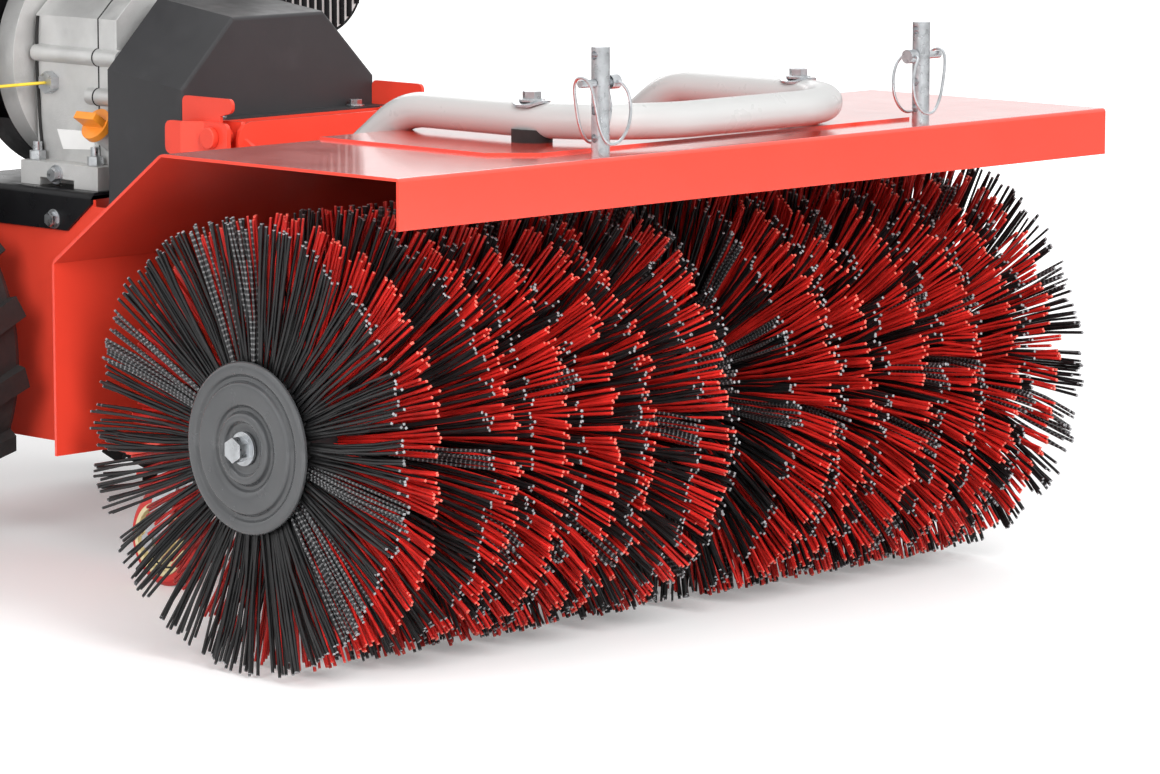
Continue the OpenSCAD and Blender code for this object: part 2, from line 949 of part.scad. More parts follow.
module head_adapter() {
  color(red) difference() {
    union() {
      translate([0, 0, (adapter_top + cheek_low + cheek_heel) / 2]) along_y(plate_y, adapter_t)
        polygon(soft_rect(adapter_w, adapter_top - cheek_low - cheek_heel, adapter_r));
      both_sides() along_x(cheek_x, adapter_t) polygon([
        [hood_rear, cheek_low], [hood_rear, slant_z], [plate_y, adapter_top - adapter_r],
        [plate_y + adapter_t, adapter_top], [plate_y + cheek_back, adapter_top],
        [plate_y + cheek_back, ear_z], [hitch_y, cheek_low + 2 * cheek_heel],
        [front_y, cheek_low + cheek_heel], [front_y, cheek_low]
      ]);
    }
    at_input() rod_y(input_d + pad_chamfer, plate_y - over, plate_y + adapter_t + over);
    at_hitch() rod_x(hitch_d + 2 * loose_gap, -chassis_w, chassis_w);
  }
}

module hitch_rod() {
  reach = side_x + ear_t + loose_gap;
  color(red) at_hitch() {
    rod_x(hitch_d, -reach, reach);
    both_sides() rod_x(hitch_d + hitch_head, reach, reach + hitch_head);
  }
}

side_line = [
  [front_y, chassis_low + side_cut], [front_y + side_cut, chassis_low], [rear_y - side_cut, chassis_low],
  [rear_y, chassis_low + side_cut], [rear_y, deck_z - side_cut], [rear_y - side_cut / 2, deck_z],
  [plate_front, deck_z], [plate_front, side_step_z], [hook_rear_y, side_step_z], [hook_rear_y, hook_z],
  [hook_nose_y, hook_z], [hook_nose_y, hook_z - hook_nose_h],
  [hook_nose_y + hook_throat, hook_z - hook_throat],
  [hook_nose_y + hook_throat, front_top], [plate_y + adapter_t, front_top - adapter_t],
  [plate_y + adapter_t, ear_z - ear_t], [front_y, ear_z - side_nose_h]
];

// Joggled ear outside each hook plate
module hitch_ear() {
  bend = ear_len * ear_split_share;
  back = plate_y + ear_len;
  intersection() {
    along_z(ear_z, ear_h) polygon(sheet([
      [side_x + ear_joggle, back], [side_x + ear_joggle, back - ear_len + bend + ear_joggle],
      [side_x, back - ear_len + bend - ear_joggle / 2], [side_x, plate_y]
    ], ear_t));
    translate([0, (plate_y + back) / 2, ear_z + ear_h / 2]) along_x(side_in, ear_joggle + 4 * ear_t)
      polygon(soft_rect(ear_len, ear_h, ear_round));
  }
}

module chassis() {
  color(red) difference() {
    union() {
      both_sides() along_x(side_in, chassis_t) offset(r = hook_round, $fn = round_fn)
        offset(delta = -hook_round) polygon(side_line);
      both_sides() hitch_ear();
      translate([-side_in, front_y, chassis_low + side_cut])
        cube([2 * side_in, chassis_t, front_top - chassis_low - side_cut]);
      translate([-side_in, front_y, front_top - chassis_t])
        cube([2 * side_in, hook_rear_y - front_y, chassis_t]);
      translate([-side_in, bulkhead_y, chassis_low])
        cube([2 * side_in, chassis_t, side_step_z - chassis_low]);
      translate([-side_in, rear_y - chassis_t, chassis_low + side_cut])
        cube([2 * side_in, chassis_t, rear_plate_h - side_cut]);
      translate([-side_in, axle_y - floor_len / 2, chassis_low])
        cube([2 * side_in, floor_len, chassis_t]);
    }
    at_input() rod_y(shaft_hole, front_y - over, front_y + chassis_t + over);
    at_input() rod_y(shaft_hole, bulkhead_y - over, bulkhead_y + chassis_t + over);
    at_hitch() rod_x(hitch_d + 2 * loose_gap, -chassis_w, chassis_w);
    translate([0, axle_y, axle_z]) rod_x(axle_d + 2 * axle_bush_t, -chassis_w, chassis_w);
    translate([0, arm_y, arm_z]) rod_x(pivot_d + 2 * loose_gap, -chassis_w, chassis_w);
    both_sides() translate([cover_bolt_x, cover_front - cover_flange / 2, 0])
      rod_z(cover_bolt_d + 2 * loose_gap, front_top - 2 * chassis_t, front_top + over);
    translate([0, plate_bolt_y, plate_bolt_z]) rod_x(plate_bolt_d + 2 * loose_gap, -chassis_w, chassis_w);
    translate([0, plate_bolt_y + plate_len / 2, plate_bolt_z])
      rod_x(plate_bolt_d + 2 * loose_gap, -chassis_w, chassis_w);
  }
}

module engine_plate() {
  out = side_x + loose_gap + plate_t;
  color(black) difference() {
    along_y(plate_front, plate_len) polygon(sheet([
      [out, base_z - plate_flange], [out, base_z], [-out, base_z], [-out, base_z - plate_flange]
    ], plate_t));
    both_sides() along_x(side_x, 2 * plate_t) polygon([
      [plate_front - over, base_z - plate_t * 3], [plate_front + plate_cut, base_z - plate_flange - over],
      [plate_front - over, base_z - plate_flange - over]
    ]);
    translate([0, plate_bolt_y, plate_bolt_z]) rod_x(plate_bolt_d + 2 * loose_gap, -chassis_w, chassis_w);
    translate([0, plate_bolt_y + plate_len / 2, plate_bolt_z])
      rod_x(plate_bolt_d + 2 * loose_gap, -chassis_w, chassis_w);
    translate([0, engine_y, 0]) both_sides() for (s = [-1, 1])
      translate([stud_x, s * stud_pitch / 2, 0]) rod_z(stud_d + 2 * loose_gap, deck_z - over, base_z + over);
  }
}

// Outline of the belt cover across the machine, grown inwards by t and lifted by z
function cover_line(t, z) = [
  [-side_x + t, side_step_z], [-side_x + t, cover_front_z - cover_slope + z - t / 2],
  [-cover_top_w / 2 + t / 2, cover_front_z + z - t], [cover_top_w / 2 - t / 2, cover_front_z + z - t],
  [side_x - t, cover_front_z - cover_slope + z - t / 2], [side_x - t, side_step_z]
];

module cover_body(t, y0, y1) {
  hull() {
    along_y(y0, over) polygon(cover_line(t, 0));
    along_y(y1 - over, over) polygon(cover_line(t, cover_rise));
  }
}

module belt_cover() {
  color(black) difference() {
    union() {
      difference() {
        cover_body(0, cover_front, cover_rear);
        cover_body(cover_t, cover_front + cover_t, cover_rear + over);
        translate([-side_x + cover_t, cover_front - over, side_step_z - over])
          cube([2 * side_x - 2 * cover_t, cover_len, front_top - side_step_z + over]);
      }
      translate([-side_in + over, cover_front - cover_flange, front_top])
        cube([2 * side_in - 2 * over, cover_flange, cover_t]);
    }
    both_sides() translate([cover_bolt_x, cover_front - cover_flange / 2, 0])
      rod_z(cover_bolt_d + 2 * loose_gap, front_top - over, front_top + 2 * cover_t);
  }
}

// Bolts on the guard bar, the belt cover, the engine plate and the handlebar joint
module frame_bolts() {
  color(zinc) both_sides() {
    translate([bar_w / 2, bar_bolt_y, bar_z + bar_d / 2]) flange_bolt(m8_af, m8_d, bar_d + bar_rise - hood_t);
    translate([cover_bolt_x, cover_front - cover_flange / 2, front_top + cover_t])
      flange_bolt(cover_bolt_af, cover_bolt_d, cover_bolt_af);
    for (s = [0, 0.5])
      translate([side_x + loose_gap + plate_t, plate_bolt_y + s * plate_len, plate_bolt_z])
        rotate([0, 90, 0]) flange_bolt(plate_bolt_af, plate_bolt_d, plate_bolt_af);
    translate([side_x, arm_y, arm_z]) rotate([0, 90, 0])
      flange_bolt(plate_bolt_af, pivot_d, chassis_t + handle_d);
  }
}

module shaft_ring(d, l, t) {
  difference() {
    rod_z(d + 2 * t, 0, l);
    rod_z(d + 2 * run_gap, -over, l + over);
  }
}

// Bearings of the input shaft, the traction shaft and the wheel axle
module shaft_bearings() {
  lip = (shaft_hole - input_d) / 2;
  color(steel) {
    for (y = [front_y, bulkhead_y]) at_input() translate([0, y + chassis_t, 0]) rotate([-90, 0, 0])
      shaft_ring(input_d, bearing_l, lip + bush_t);
    both_sides() translate([side_in - axle_bush_l, axle_y, axle_z]) rotate([0, 90, 0])
      shaft_ring(axle_d, axle_bush_l, axle_bush_t + bush_t);
  }
}

// Traction drive

module traction_shaft() {
  color(steel) at_input() {
    rod_y(input_d, trac_front, axle_y);
    belt_wheel(large_r, belt2_y, 0);
  }
}

module drive_gearbox() {
  color(black) difference() {
    union() {
      translate([0, axle_y, axle_z]) rod_x(2 * drive_r, -drive_half, drive_half);
      at_input() rod_y(input_d + 2 * bearing_t, drive_front, drive_rear);
      translate([-drive_half, axle_y - drive_foot, chassis_low + chassis_t])
        cube([2 * drive_half, 2 * drive_foot, axle_z - chassis_low - chassis_t]);
    }
    translate([0, axle_y, axle_z]) rod_x(axle_d + 2 * run_gap, -drive_half - over, drive_half + over);
    at_input() rod_y(input_d + 2 * run_gap, drive_front - over, axle_y + over);
  }
}

module at_axle() {
  translate([0, axle_y, axle_z]) children();
}

module wheel_axle() {
  color(steel) at_axle() rod_x(axle_d, -axle_out, axle_out);
}

// Pressed rim with a barrel, a web and a hub tube
module drive_rim() {
  r = rim_d / 2;
  b = tyre_w / 2 * bead_shares[0];
  translate([track / 2, 0, 0]) rotate([0, 90, 0]) rotate_extrude() polygon([
    [axle_d / 2 + run_gap, -hub_l / 2], [hub_d / 2, -hub_l / 2], [hub_d / 2, -rim_web / 2],
    [r - rim_wall, -rim_web / 2], [r - rim_wall, -b - rim_wall], [r + rim_wall, -b - rim_wall],
    [r + rim_wall, -b], [r, -b], [r, b], [r + rim_wall, b], [r + rim_wall, b + rim_wall],
    [r - rim_wall, b + rim_wall], [r - rim_wall, rim_web / 2], [hub_d / 2, rim_web / 2],
    [hub_d / 2, hub_l / 2], [axle_d / 2 + run_gap, hub_l / 2]
  ]);
}

module drive_rims() {
  color(grey) at_axle() both_sides() drive_rim();
}

module drive_tyre() {
  r0 = rim_d / 2 + loose_gap;
  r1 = tyre_d / 2;
  half = [for (i = [0:len(wall_shares) - 1]) [r0 + (r1 - r0) * wall_shares[i], tyre_w / 2 * bead_shares[i]]];
  lug_len = tyre_w / 2 * lug_share;
  lug_side = lug_len * sin(lug_lean) + lug_w / 2 * cos(lug_lean);
  top = sqrt(r1 * r1 - lug_side * lug_side);
  translate([track / 2, 0, 0]) {
    rotate([0, 90, 0]) rotate_extrude() polygon(concat(
      half, [for (i = [len(half) - 1:-1:0]) [half[i][0], -half[i][1]]]
    ));
    for (s = [0, 1]) mirror([s, 0, 0]) for (i = [0:lugs_round - 1])
      rotate([(i + s / 2) * 360 / lugs_round, 0, 0])
        translate([tyre_w / 2 * (1 - lug_share), 0, top - 2 * lug_h]) rotate([0, 0, lug_lean])
          translate([0, -lug_w / 2, 0]) cube([lug_len, lug_w, 2 * lug_h]);
  }
}

module drive_tyres() {
  color(black) at_axle() both_sides() drive_tyre();
}

// Castors behind the brush

module castor_mounts() {
  color(red) both_sides() translate([castor_track / 2, 0, 0]) difference() {
    union() {
      translate([-mount_w / 2, hood_rear, castor_z]) cube([mount_w, mount_t, mount_h]);
      translate([-mount_w / 2, hood_rear, castor_z]) cube([mount_w, mount_l, mount_t]);
      both_sides() along_x(mount_w / 2 - mount_t, mount_t) polygon([
        [hood_rear, castor_z], [hood_rear + mount_l, castor_z], [hood_rear + mount_l, castor_z + 3 * mount_t],
        [hood_rear + mount_t, castor_z + mount_h]
      ]);
    }
    translate([0, castor_y, 0]) rod_z(stem_d + 2 * run_gap, castor_z - over, castor_z + mount_t + over);
  }
}

fork_in = castor_w / 2 + fork_gap;

module at_castor() {
  translate([castor_track / 2, castor_y, 0]) children();
}

module castor_fork() {
  top = castor_z - loose_gap;
  wheel_z = castor_d / 2;
  at_castor() {
    difference() {
      union() {
        rod_z(swivel_d, top - swivel_t, top);
        rod_z(stem_d, top - swivel_t, castor_z + mount_t + loose_gap);
        rod_z(stem_head_d, castor_z + mount_t + loose_gap, castor_z + mount_t + stem_head_h);
        both_sides() along_x(fork_in, fork_t) polygon([
          [-fork_w / 2, top], [fork_w / 2, top], [castor_trail + fork_w / 2, wheel_z],
          [castor_trail + fork_w / 4, wheel_z - fork_w / 2],
          [castor_trail - fork_w / 4, wheel_z - fork_w / 2],
          [castor_trail - fork_w / 2, wheel_z]
        ]);
      }
      translate([0, castor_trail, wheel_z]) rod_x(castor_axle_d + 2 * run_gap, -castor_w, castor_w);
    }
    translate([0, castor_trail, wheel_z]) {
      rod_x(castor_axle_d, -fork_in - fork_t, fork_in + fork_t);
      translate([fork_in + fork_t, 0, 0]) rotate([0, 90, 0]) hex_nut(m8_af, m8_d);
      translate([-fork_in - fork_t - m8_d, 0, 0]) rotate([0, 90, 0]) hex_nut(m8_af, m8_d);
    }
  }
}

module castor_rim() {
  r = castor_rim_d / 2;
  at_castor() translate([0, castor_trail, castor_d / 2]) rotate([0, 90, 0]) rotate_extrude() polygon([
    [castor_axle_d / 2 + run_gap, -castor_w / 2], [castor_hub_d / 2, -castor_w / 2],
    [castor_hub_d / 2, -castor_web],
    [r - castor_lip, -castor_web], [r - castor_lip, -castor_w / 2], [r + castor_lip, -castor_w / 2],
    [r + castor_lip, -castor_w / 2 + castor_lip], [r, -castor_w / 2 + castor_lip],
    [r, castor_w / 2 - castor_lip], [r + castor_lip, castor_w / 2 - castor_lip],
    [r + castor_lip, castor_w / 2],
    [r - castor_lip, castor_w / 2], [r - castor_lip, castor_web], [castor_hub_d / 2, castor_web],
    [castor_hub_d / 2, castor_w / 2], [castor_axle_d / 2 + run_gap, castor_w / 2]
  ]);
}

module castor_tyre() {
  r = castor_d / 2;
  bore = castor_rim_d / 2 + loose_gap;
  side = castor_w / 2 - castor_lip;
  at_castor() translate([0, castor_trail, r]) rotate([0, 90, 0]) rotate_extrude() polygon([
    [bore, -side], [r - 2 * castor_lip, -side], [r, -side + 2 * castor_lip], [r, side - 2 * castor_lip],
    [r - 2 * castor_lip, side], [bore, side]
  ]);
}

module castor_fork_left() {
  color(zinc) mirror([1, 0, 0]) castor_fork();
}

module castor_fork_right() {
  color(zinc) castor_fork();
}

module castor_rim_left() {
  color(cream) mirror([1, 0, 0]) castor_rim();
}

module castor_rim_right() {
  color(cream) castor_rim();
}

module castor_tyre_left() {
  color(red) mirror([1, 0, 0]) castor_tyre();
}

module castor_tyre_right() {
  color(red) castor_tyre();
}

// Engine

module at_crank() {
  translate([0, 0, crank_z]) children();
}

module at_cylinder(h) {
  translate([0, engine_y, crank_z]) rotate([0, cylinder_tilt, 0]) translate([0, 0, h]) children();
}

module at_dipstick() {
  translate([-case_x, dip_y, dip_z]) rotate([0, -dip_tilt, 0]) children();
}

// Outline of the crankcase across the crankshaft, above its base
case_line = [
  [case_x, base_z + base_h], [case_x, crank_z + case_shoulder], [case_x - case_shoulder, crank_z + case_top],
  [case_shoulder - case_x, crank_z + case_top], [-case_x, crank_z + case_shoulder], [-case_x, base_z + base_h]
];

module crankcase() {
  color(alloy) difference() {
    union() {
      translate([-base_w / 2, engine_y - base_lead, base_z]) cube([base_w, base_len, base_h]);
      along_y(case_front, case_depth) polygon(case_line);
      for (p = boss_spots) translate([p[0], case_front, crank_z + p[1]]) rod_y(2 * boss_r, 0, boss_l);
      translate([-case_x, case_front, crank_z + rib_rise]) rod_y(2 * boss_r, 0, case_depth);
      at_crank() rod_y(2 * bell_neck_r, case_rear, bell_rear);
      at_crank() rod_y(2 * bell_r, case_rear + bell_seam, bell_rear);
    }
    at_crank() rod_y(crank_d + 4 * loose_gap, case_front - over, bell_rear + over);
    at_cylinder(barrel_from) rod_z(2 * barrel_r + 2 * loose_gap, 0, case_top * 2);
    both_sides() translate([base_w / 2 - base_arch_d / 2, engine_y - base_arch_d / 2, base_z - over])
      cube([base_arch_d, base_arch_d, arch_h + over]);
    translate([0, engine_y, 0]) both_sides() for (s = [-1, 1])
      translate([stud_x, s * stud_pitch / 2, 0])
        rod_z(stud_d + 2 * loose_gap, base_z - over, base_z + 2 * base_h);
  }
}

module crankcase_cover() {
  color(alloy) difference() {
    union() {
      along_y(case_front - cover2_depth, cover2_depth) difference() {
        polygon(case_line);
        translate([-case_x - over, base_z]) square([2 * case_x + 2 * over, base_h + cover2_lift]);
      }
      at_crank() rod_y(2 * snout_r, case_front - cover2_depth - snout_l, case_front);
      for (p = boss_spots) translate([p[0], case_front, crank_z + p[1]])
        rod_y(2 * boss_r, -cover2_depth - boss_out, 0);
      at_dipstick() rod_z(2 * dip_neck_r, -dip_neck_r, dip_neck_l);
    }
    at_crank() rod_y(crank_d + 4 * loose_gap, case_front - 2 * cover2_depth, case_front + over);
    at_cylinder(barrel_from) rod_z(2 * barrel_r + 2 * loose_gap, 0, case_top * 2);
    at_dipstick() rod_z(dip_d + 2 * loose_gap, -dip_depth - over, dip_neck_l + over);
  }
}

module cylinder_fins() {
  for (i = [0:fin_count - 1]) at_cylinder(fin_from + i * fin_pitch)
    linear_extrude(fin_t) polygon(soft_rect(fin_w, case_depth, round_r));
}

fin_end = fin_from + fin_count * fin_pitch;

module cylinder_block() {
  color(alloy) {
    at_cylinder(barrel_from) rod_z(2 * barrel_r, 0, fin_end - barrel_from);
    cylinder_fins();
    at_cylinder(fin_end) linear_extrude(head_h) polygon(soft_rect(head_w, case_depth, round_r));
  }
  color(black) at_cylinder(fin_end + head_h) {
    linear_extrude(valve_h / 3) polygon(soft_rect(valve_w, case_depth - round_r, round_r));
    linear_extrude(valve_h) polygon(soft_rect(valve_w - round_r, case_depth - 2 * round_r, round_r));
  }
}

// Sheet housing round the flywheel, open towards the crankcase
module shroud_outline(t) {
  union() {
    circle(r = shroud_r - t);
    translate([-shroud_w + t, -shroud_r / 2]) square([2 * shroud_w - 2 * t, shroud_top + shroud_r / 2 - t]);
  }
}

module fan_shroud() {
  color(alloy) at_crank() difference() {
    along_y(bell_rear, shroud_depth) shroud_outline(0);
    along_y(bell_rear - over, shroud_depth - shroud_wall + over) shroud_outline(shroud_wall);
    rod_y(recoil_r, bell_rear, bell_rear + shroud_depth + over);
  }
}

module recoil_starter() {
  y0 = bell_rear + shroud_depth;
  color(black) at_crank() {
    difference() {
      translate([0, y0, 0]) rotate([-90, 0, 0]) rotate_extrude() polygon(concat(
        [for (s = recoil_shares) [s[0] * recoil_r, s[1] * recoil_h]],
        [for (i = [len(recoil_shares) - 1:-1:0])
          [recoil_shares[i][0] * (recoil_r - shroud_wall), recoil_shares[i][1] * (recoil_h - shroud_wall)]]
      ));
      for (i = [0:recoil_slots - 1]) rotate([0, i * 360 / recoil_slots, 0])
        translate([recoil_r * vent_shares[0], y0 + recoil_h / 2, -slot_w / 2])
          cube([recoil_r * vent_shares[1], recoil_h, slot_w]);
    }
    translate([-recoil_r * pull_shares[0], y0 + recoil_h + grip_t / 2, recoil_r * pull_shares[1]])
      linear_extrude(grip_h) polygon(soft_rect(grip_w, grip_t, grip_t / 3));
  }
}

tank_z = crank_z + shroud_top;
tank_y = bell_rear - shroud_depth / 2;

module fuel_tank() {
  color(black) translate([tank_x, tank_y, tank_z]) {
    hull() {
      linear_extrude(over) polygon(soft_rect(tank_w - tank_r, tank_l - tank_r, tank_r));
      translate([0, 0, tank_h * tank_shares[0]]) linear_extrude(tank_h * tank_shares[1])
        polygon(soft_rect(tank_w, tank_l, tank_r));
      translate([0, 0, tank_h - over]) linear_extrude(over)
        polygon(soft_rect(tank_w - 2 * tank_r, tank_l - 2 * tank_r, tank_r));
    }
    rod_z(2 * neck2_r, tank_h - over, tank_h + neck2_h);
  }
}

module fuel_cap() {
  low = tank_z + tank_h + neck2_h + loose_gap;
  color(black) translate([tank_x, tank_y, low]) {
    rod_z(2 * cap_r, 0, cap_h);
    for (i = [0:cap_ribs - 1]) rotate(i * 360 / cap_ribs) translate([cap_r, 0, 0])
      rod_z(cap_rib_d, 0, cap_h * cap_rib_share);
  }
}

module muffler() {
  color(steel) translate([muffler_x, case_front - cover2_depth, muffler_z]) {
    rod_y(2 * muffler_r, 0, muffler_l);
    rod_y(muffler_r, muffler_l, muffler_l + round_r);
  }
  color(steel) at_cylinder(fin_end + round_r) rod_x(pipe_d, head_w / 2, head_w / 2 + pipe_l);
}

module muffler_guard() {
  r = muffler_r + guard_gap;
  slot = muffler_l / (guard_slots + 1);
  color(black) translate([muffler_x, case_front - cover2_depth, muffler_z]) {
    difference() {
      rod_y(2 * r, -round_r, muffler_l + round_r / 2);
      rod_y(2 * (r - guard_t), guard_t - round_r, muffler_l + round_r);
      translate([-2 * r, -2 * round_r, r * guard_share]) cube([4 * r, 2 * muffler_l, r]);
      for (i = [1:guard_slots]) translate([-2 * r, i * slot - guard_slot_w / 2 - guard_t, 0])
        cube([4 * r, guard_slot_w, r]);
    }
    both_sides() translate([muffler_r / 2, 0, -muffler_r / 2]) rod_y(stud_d, -round_r, 0);
  }
}

module air_cleaner() {
  color(black) translate([clean_x, bell_rear + round_r, clean_z]) {
    translate([0, clean_l / 2, 0]) linear_extrude(clean_h * clean_share)
      polygon(soft_rect(clean_w, clean_l, round_r));
    translate([0, clean_l / 2, clean_h * clean_share]) linear_extrude(clean_h * (1 - clean_share))
      polygon(soft_rect(clean_w - round_r / 2, clean_l - round_r / 2, round_r));
  }
}

// Base studs with nuts, drain bolts and the oil sensor nut
module engine_fasteners() {
  color(zinc) {
    translate([0, engine_y, 0]) both_sides() for (s = [-1, 1]) translate([stud_x, s * stud_pitch / 2, 0]) {
      rod_z(stud_d, deck_z, base_z + base_h + stud_d * 2);
      translate([0, 0, base_z + base_h]) hex_nut(stud_af, stud_d);
    }
    both_sides() translate([base_w / 2, engine_y, drain_z]) rotate([0, 90, 0])
      flange_bolt(drain_af, stud_d, 0);
    translate([-case_x, sensor_y, sensor_z]) rotate([0, -90, 0]) hex_nut(sensor_af, sensor_l);
    for (p = boss_spots) translate([p[0], case_front - cover2_depth - boss_out, crank_z + p[1]])
      rotate([90, 0, 0]) hex_nut(cover2_bolt_af, boss_out);
  }
}

module sensor_wire() {
  nut = -case_x - sensor_l;
  x = -shroud_w - 2 * wire_t;
  back = bell_rear + shroud_depth * wire_share;
  color(yellow) bent_bar([
    [nut, sensor_y, sensor_z], [nut - 3 * wire_t, sensor_y, sensor_z],
    [x, sensor_y + 8 * wire_t, sensor_z - wire_t], [x, back, sensor_z + wire_t * 3],
    [-shroud_w, back, sensor_z + wire_t * 3]
  ], wire_t, [wire_t * 2, wire_t * 2, wire_t], wire_sides);
}

module crankshaft() {
  color(steel) at_crank() {
    rod_y(crank_d, belt1_y - pulley_half, bell_rear + shroud_depth / 2);
    rod_y(2 * flywheel_share * recoil_r, bell_rear + round_r, bell_rear + shroud_depth / 2);
  }
}

module engine_pulley() {
  color(steel) at_crank() difference() {
    union() {
      belt_wheel(small_r, belt1_y, 0);
      belt_wheel(small_r, belt2_y, 0);
      rod_y(2 * hub_r, belt1_y, belt2_y);
    }
    rod_y(crank_d + 2 * run_gap, belt1_y - 2 * pulley_half, belt2_y + 2 * pulley_half);
  }
}

module oil_dipstick() {
  color(orange) at_dipstick() {
    rod_z(dip_d, -dip_depth, dip_neck_l + loose_gap);
    rod_z(2 * dip_cap_r, dip_neck_l + loose_gap, dip_neck_l + dip_cap_h);
    translate([-dip_wing_t / 2, -dip_wing / 2, dip_neck_l + dip_cap_h - over])
      cube([dip_wing_t, dip_wing, dip_wing_h]);
  }
}

// Handlebar and controls

arm_line = [
  [arm_x, arm_y - arm_tail * tail_share, arm_z - arm_tail], [arm_x, arm_knee_y, arm_knee_z],
  [handle_w / 2, arm_top_y, arm_top_z], [handle_w / 2, handle_rear, handle_z]
];

module at_grip() {
  translate([handle_w / 2, handle_rear, handle_z]) rotate([grip_tilt, 0, 0]) children();
}

lever_y = -grip_len - 2 * lug_l;

module handlebar() {
  color(black) difference() {
    union() {
      both_sides() bent_bar(arm_line, handle_d, [arm_bend, arm_bend], tube_sides);
      translate([0, cross_y, cross_z]) rod_x(handle_d, -cross_x, cross_x);
      both_sides() at_grip() {
        along_x(lever_t / 2 + loose_gap, lug_t) polygon([
          [lever_y - lug_l, 0], [lever_y + lug_l, 0], [lever_y + lug_l / 2, lever_rise + lug_l / 2],
          [lever_y - lug_l / 2, lever_rise + lug_l / 2]
        ]);
        translate([0, lever_y, lever_rise]) rod_x(lever_pin_d, -lever_t / 2, lever_t);
      }
    }
    translate([0, arm_y, arm_z]) rod_x(pivot_d + 2 * loose_gap, -chassis_w, chassis_w);
  }
}

module handle_grips() {
  color(black) both_sides() at_grip() difference() {
    rod_y(grip_d, -grip_len, grip_cap);
    rod_y(handle_d, -grip_len - over, 0);
  }
}

module at_panel() {
  translate([0, cross_y, cross_z + handle_d / 2]) children();
}

slot_y = panel_l * slot_share;
stick_z = panel_h * stick_share;

module control_panel() {
  color(black) at_panel() difference() {
    along_x(-panel_w / 2, panel_w) polygon([
      [-panel_l / 2, 0], [panel_l / 2, 0], [panel_l / 2, panel_nose], [-panel_l / 2 + panel_nose, panel_h],
      [-panel_l / 2, panel_h]
    ]);
    translate([-slot2_w / 2, slot_y - panel_l / 2, -over]) cube([slot2_w, slot_l, panel_h + 2 * over]);
    translate([0, slot_y - panel_l / 2 + slot_l / 2, stick_z])
      rod_x(stick_pin_d + 2 * run_gap, -2 * slot2_w, 2 * slot2_w);
    translate([0, -panel_l / 4, panel_h / 2])
      rod_x(thr_pin_d + 2 * run_gap, panel_w / 2 - thr_pin_l, panel_w / 2 + over);
  }
}

module at_stick() {
  at_panel() translate([0, slot_y - panel_l / 2 + slot_l / 2, stick_z]) children();
}

module speed_lever() {
  color(black) at_stick() {
    rod_z(stick_d, 0, stick_l);
    rod_x(stick_pin_d, -2 * slot2_w + over, 2 * slot2_w - over);
    translate([0, 0, stick_l]) sphere(d = knob_d);
  }
}

module at_throttle() {
  at_panel() translate([panel_w / 2 + loose_gap, -panel_l / 4, panel_h / 2]) children();
}

module throttle_lever() {
  color(black) at_throttle() {
    rod_x(thr_pin_d, -thr_pin_l + over, thr_t);
    rod_x(2 * thr_r, 0, thr_t);
    translate([0, -thr_t, 0]) cube([thr_t, 2 * thr_t, thr_l]);
  }
}

// Squeeze lever over the right grip
module squeeze_lever() {
  at_grip() difference() {
    translate([0, lever_y, lever_rise]) rotate([lever_lift, 0, 0]) {
      translate([-lever_t / 2, -lever_h / 2, -lever_h / 2]) cube([lever_t, lever_l, lever_h]);
      translate([-lever_pad_w / 2, lever_l - lever_pad_l, lever_h / 2 - lever_t])
        cube([lever_pad_w, lever_pad_l, lever_t]);
    }
    translate([0, lever_y, lever_rise]) rod_x(lever_pin_d + 2 * loose_gap, -lever_t, lever_t);
  }
}

module brush_lever() {
  color(red) squeeze_lever();
}

module drive_lever() {
  color(red) mirror([1, 0, 0]) squeeze_lever();
}

module placed() {
  translate([0, frame_y, 0]) children();
}

placed() hood();
placed() guard_bar();
placed() bar_buffers();
placed() accessory_posts();
placed() frame_bolts();
placed() head_adapter();
placed() hitch_rod();
placed() brush_gearbox();
placed() castor_mounts();
placed() chassis();
placed() engine_plate();
placed() belt_cover();
placed() brush_belt();
placed() traction_belt();
placed() shaft_bearings();
placed() drive_gearbox();
placed() crankcase();
placed() crankcase_cover();
placed() cylinder_block();  // cylinder
placed() fan_shroud();
placed() recoil_starter();
placed() fuel_tank();
placed() air_cleaner();
placed() muffler();
placed() muffler_guard();
placed() engine_fasteners();
placed() sensor_wire();
placed() crankshaft();
placed() engine_pulley();
placed() input_shaft();
placed() brush_pulley();
placed() brush_shaft();
placed() worm_wheel();
placed() brush_left();
placed() brush_right();
placed() brush_end_discs();
placed() brush_end_bolts();
placed() wheel_axle();
placed() drive_rims();
placed() drive_tyres();
placed() traction_shaft();
placed() castor_fork_left();
placed() castor_fork_right();
placed() castor_rim_left();
placed() castor_rim_right();
placed() castor_tyre_left();
placed() castor_tyre_right();
placed() lock_pin_left();
placed() lock_pin_right();
placed() pin_bail_left();
placed() pin_bail_right();
placed() handlebar();
placed() handle_grips();
placed() control_panel();
placed() brush_lever();
placed() drive_lever();
placed() speed_lever();
placed() throttle_lever();
placed() fuel_cap();
placed() oil_dipstick();
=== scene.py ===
import json
import math

import bmesh
import bpy
import numpy as np
from mathutils import Matrix, Vector

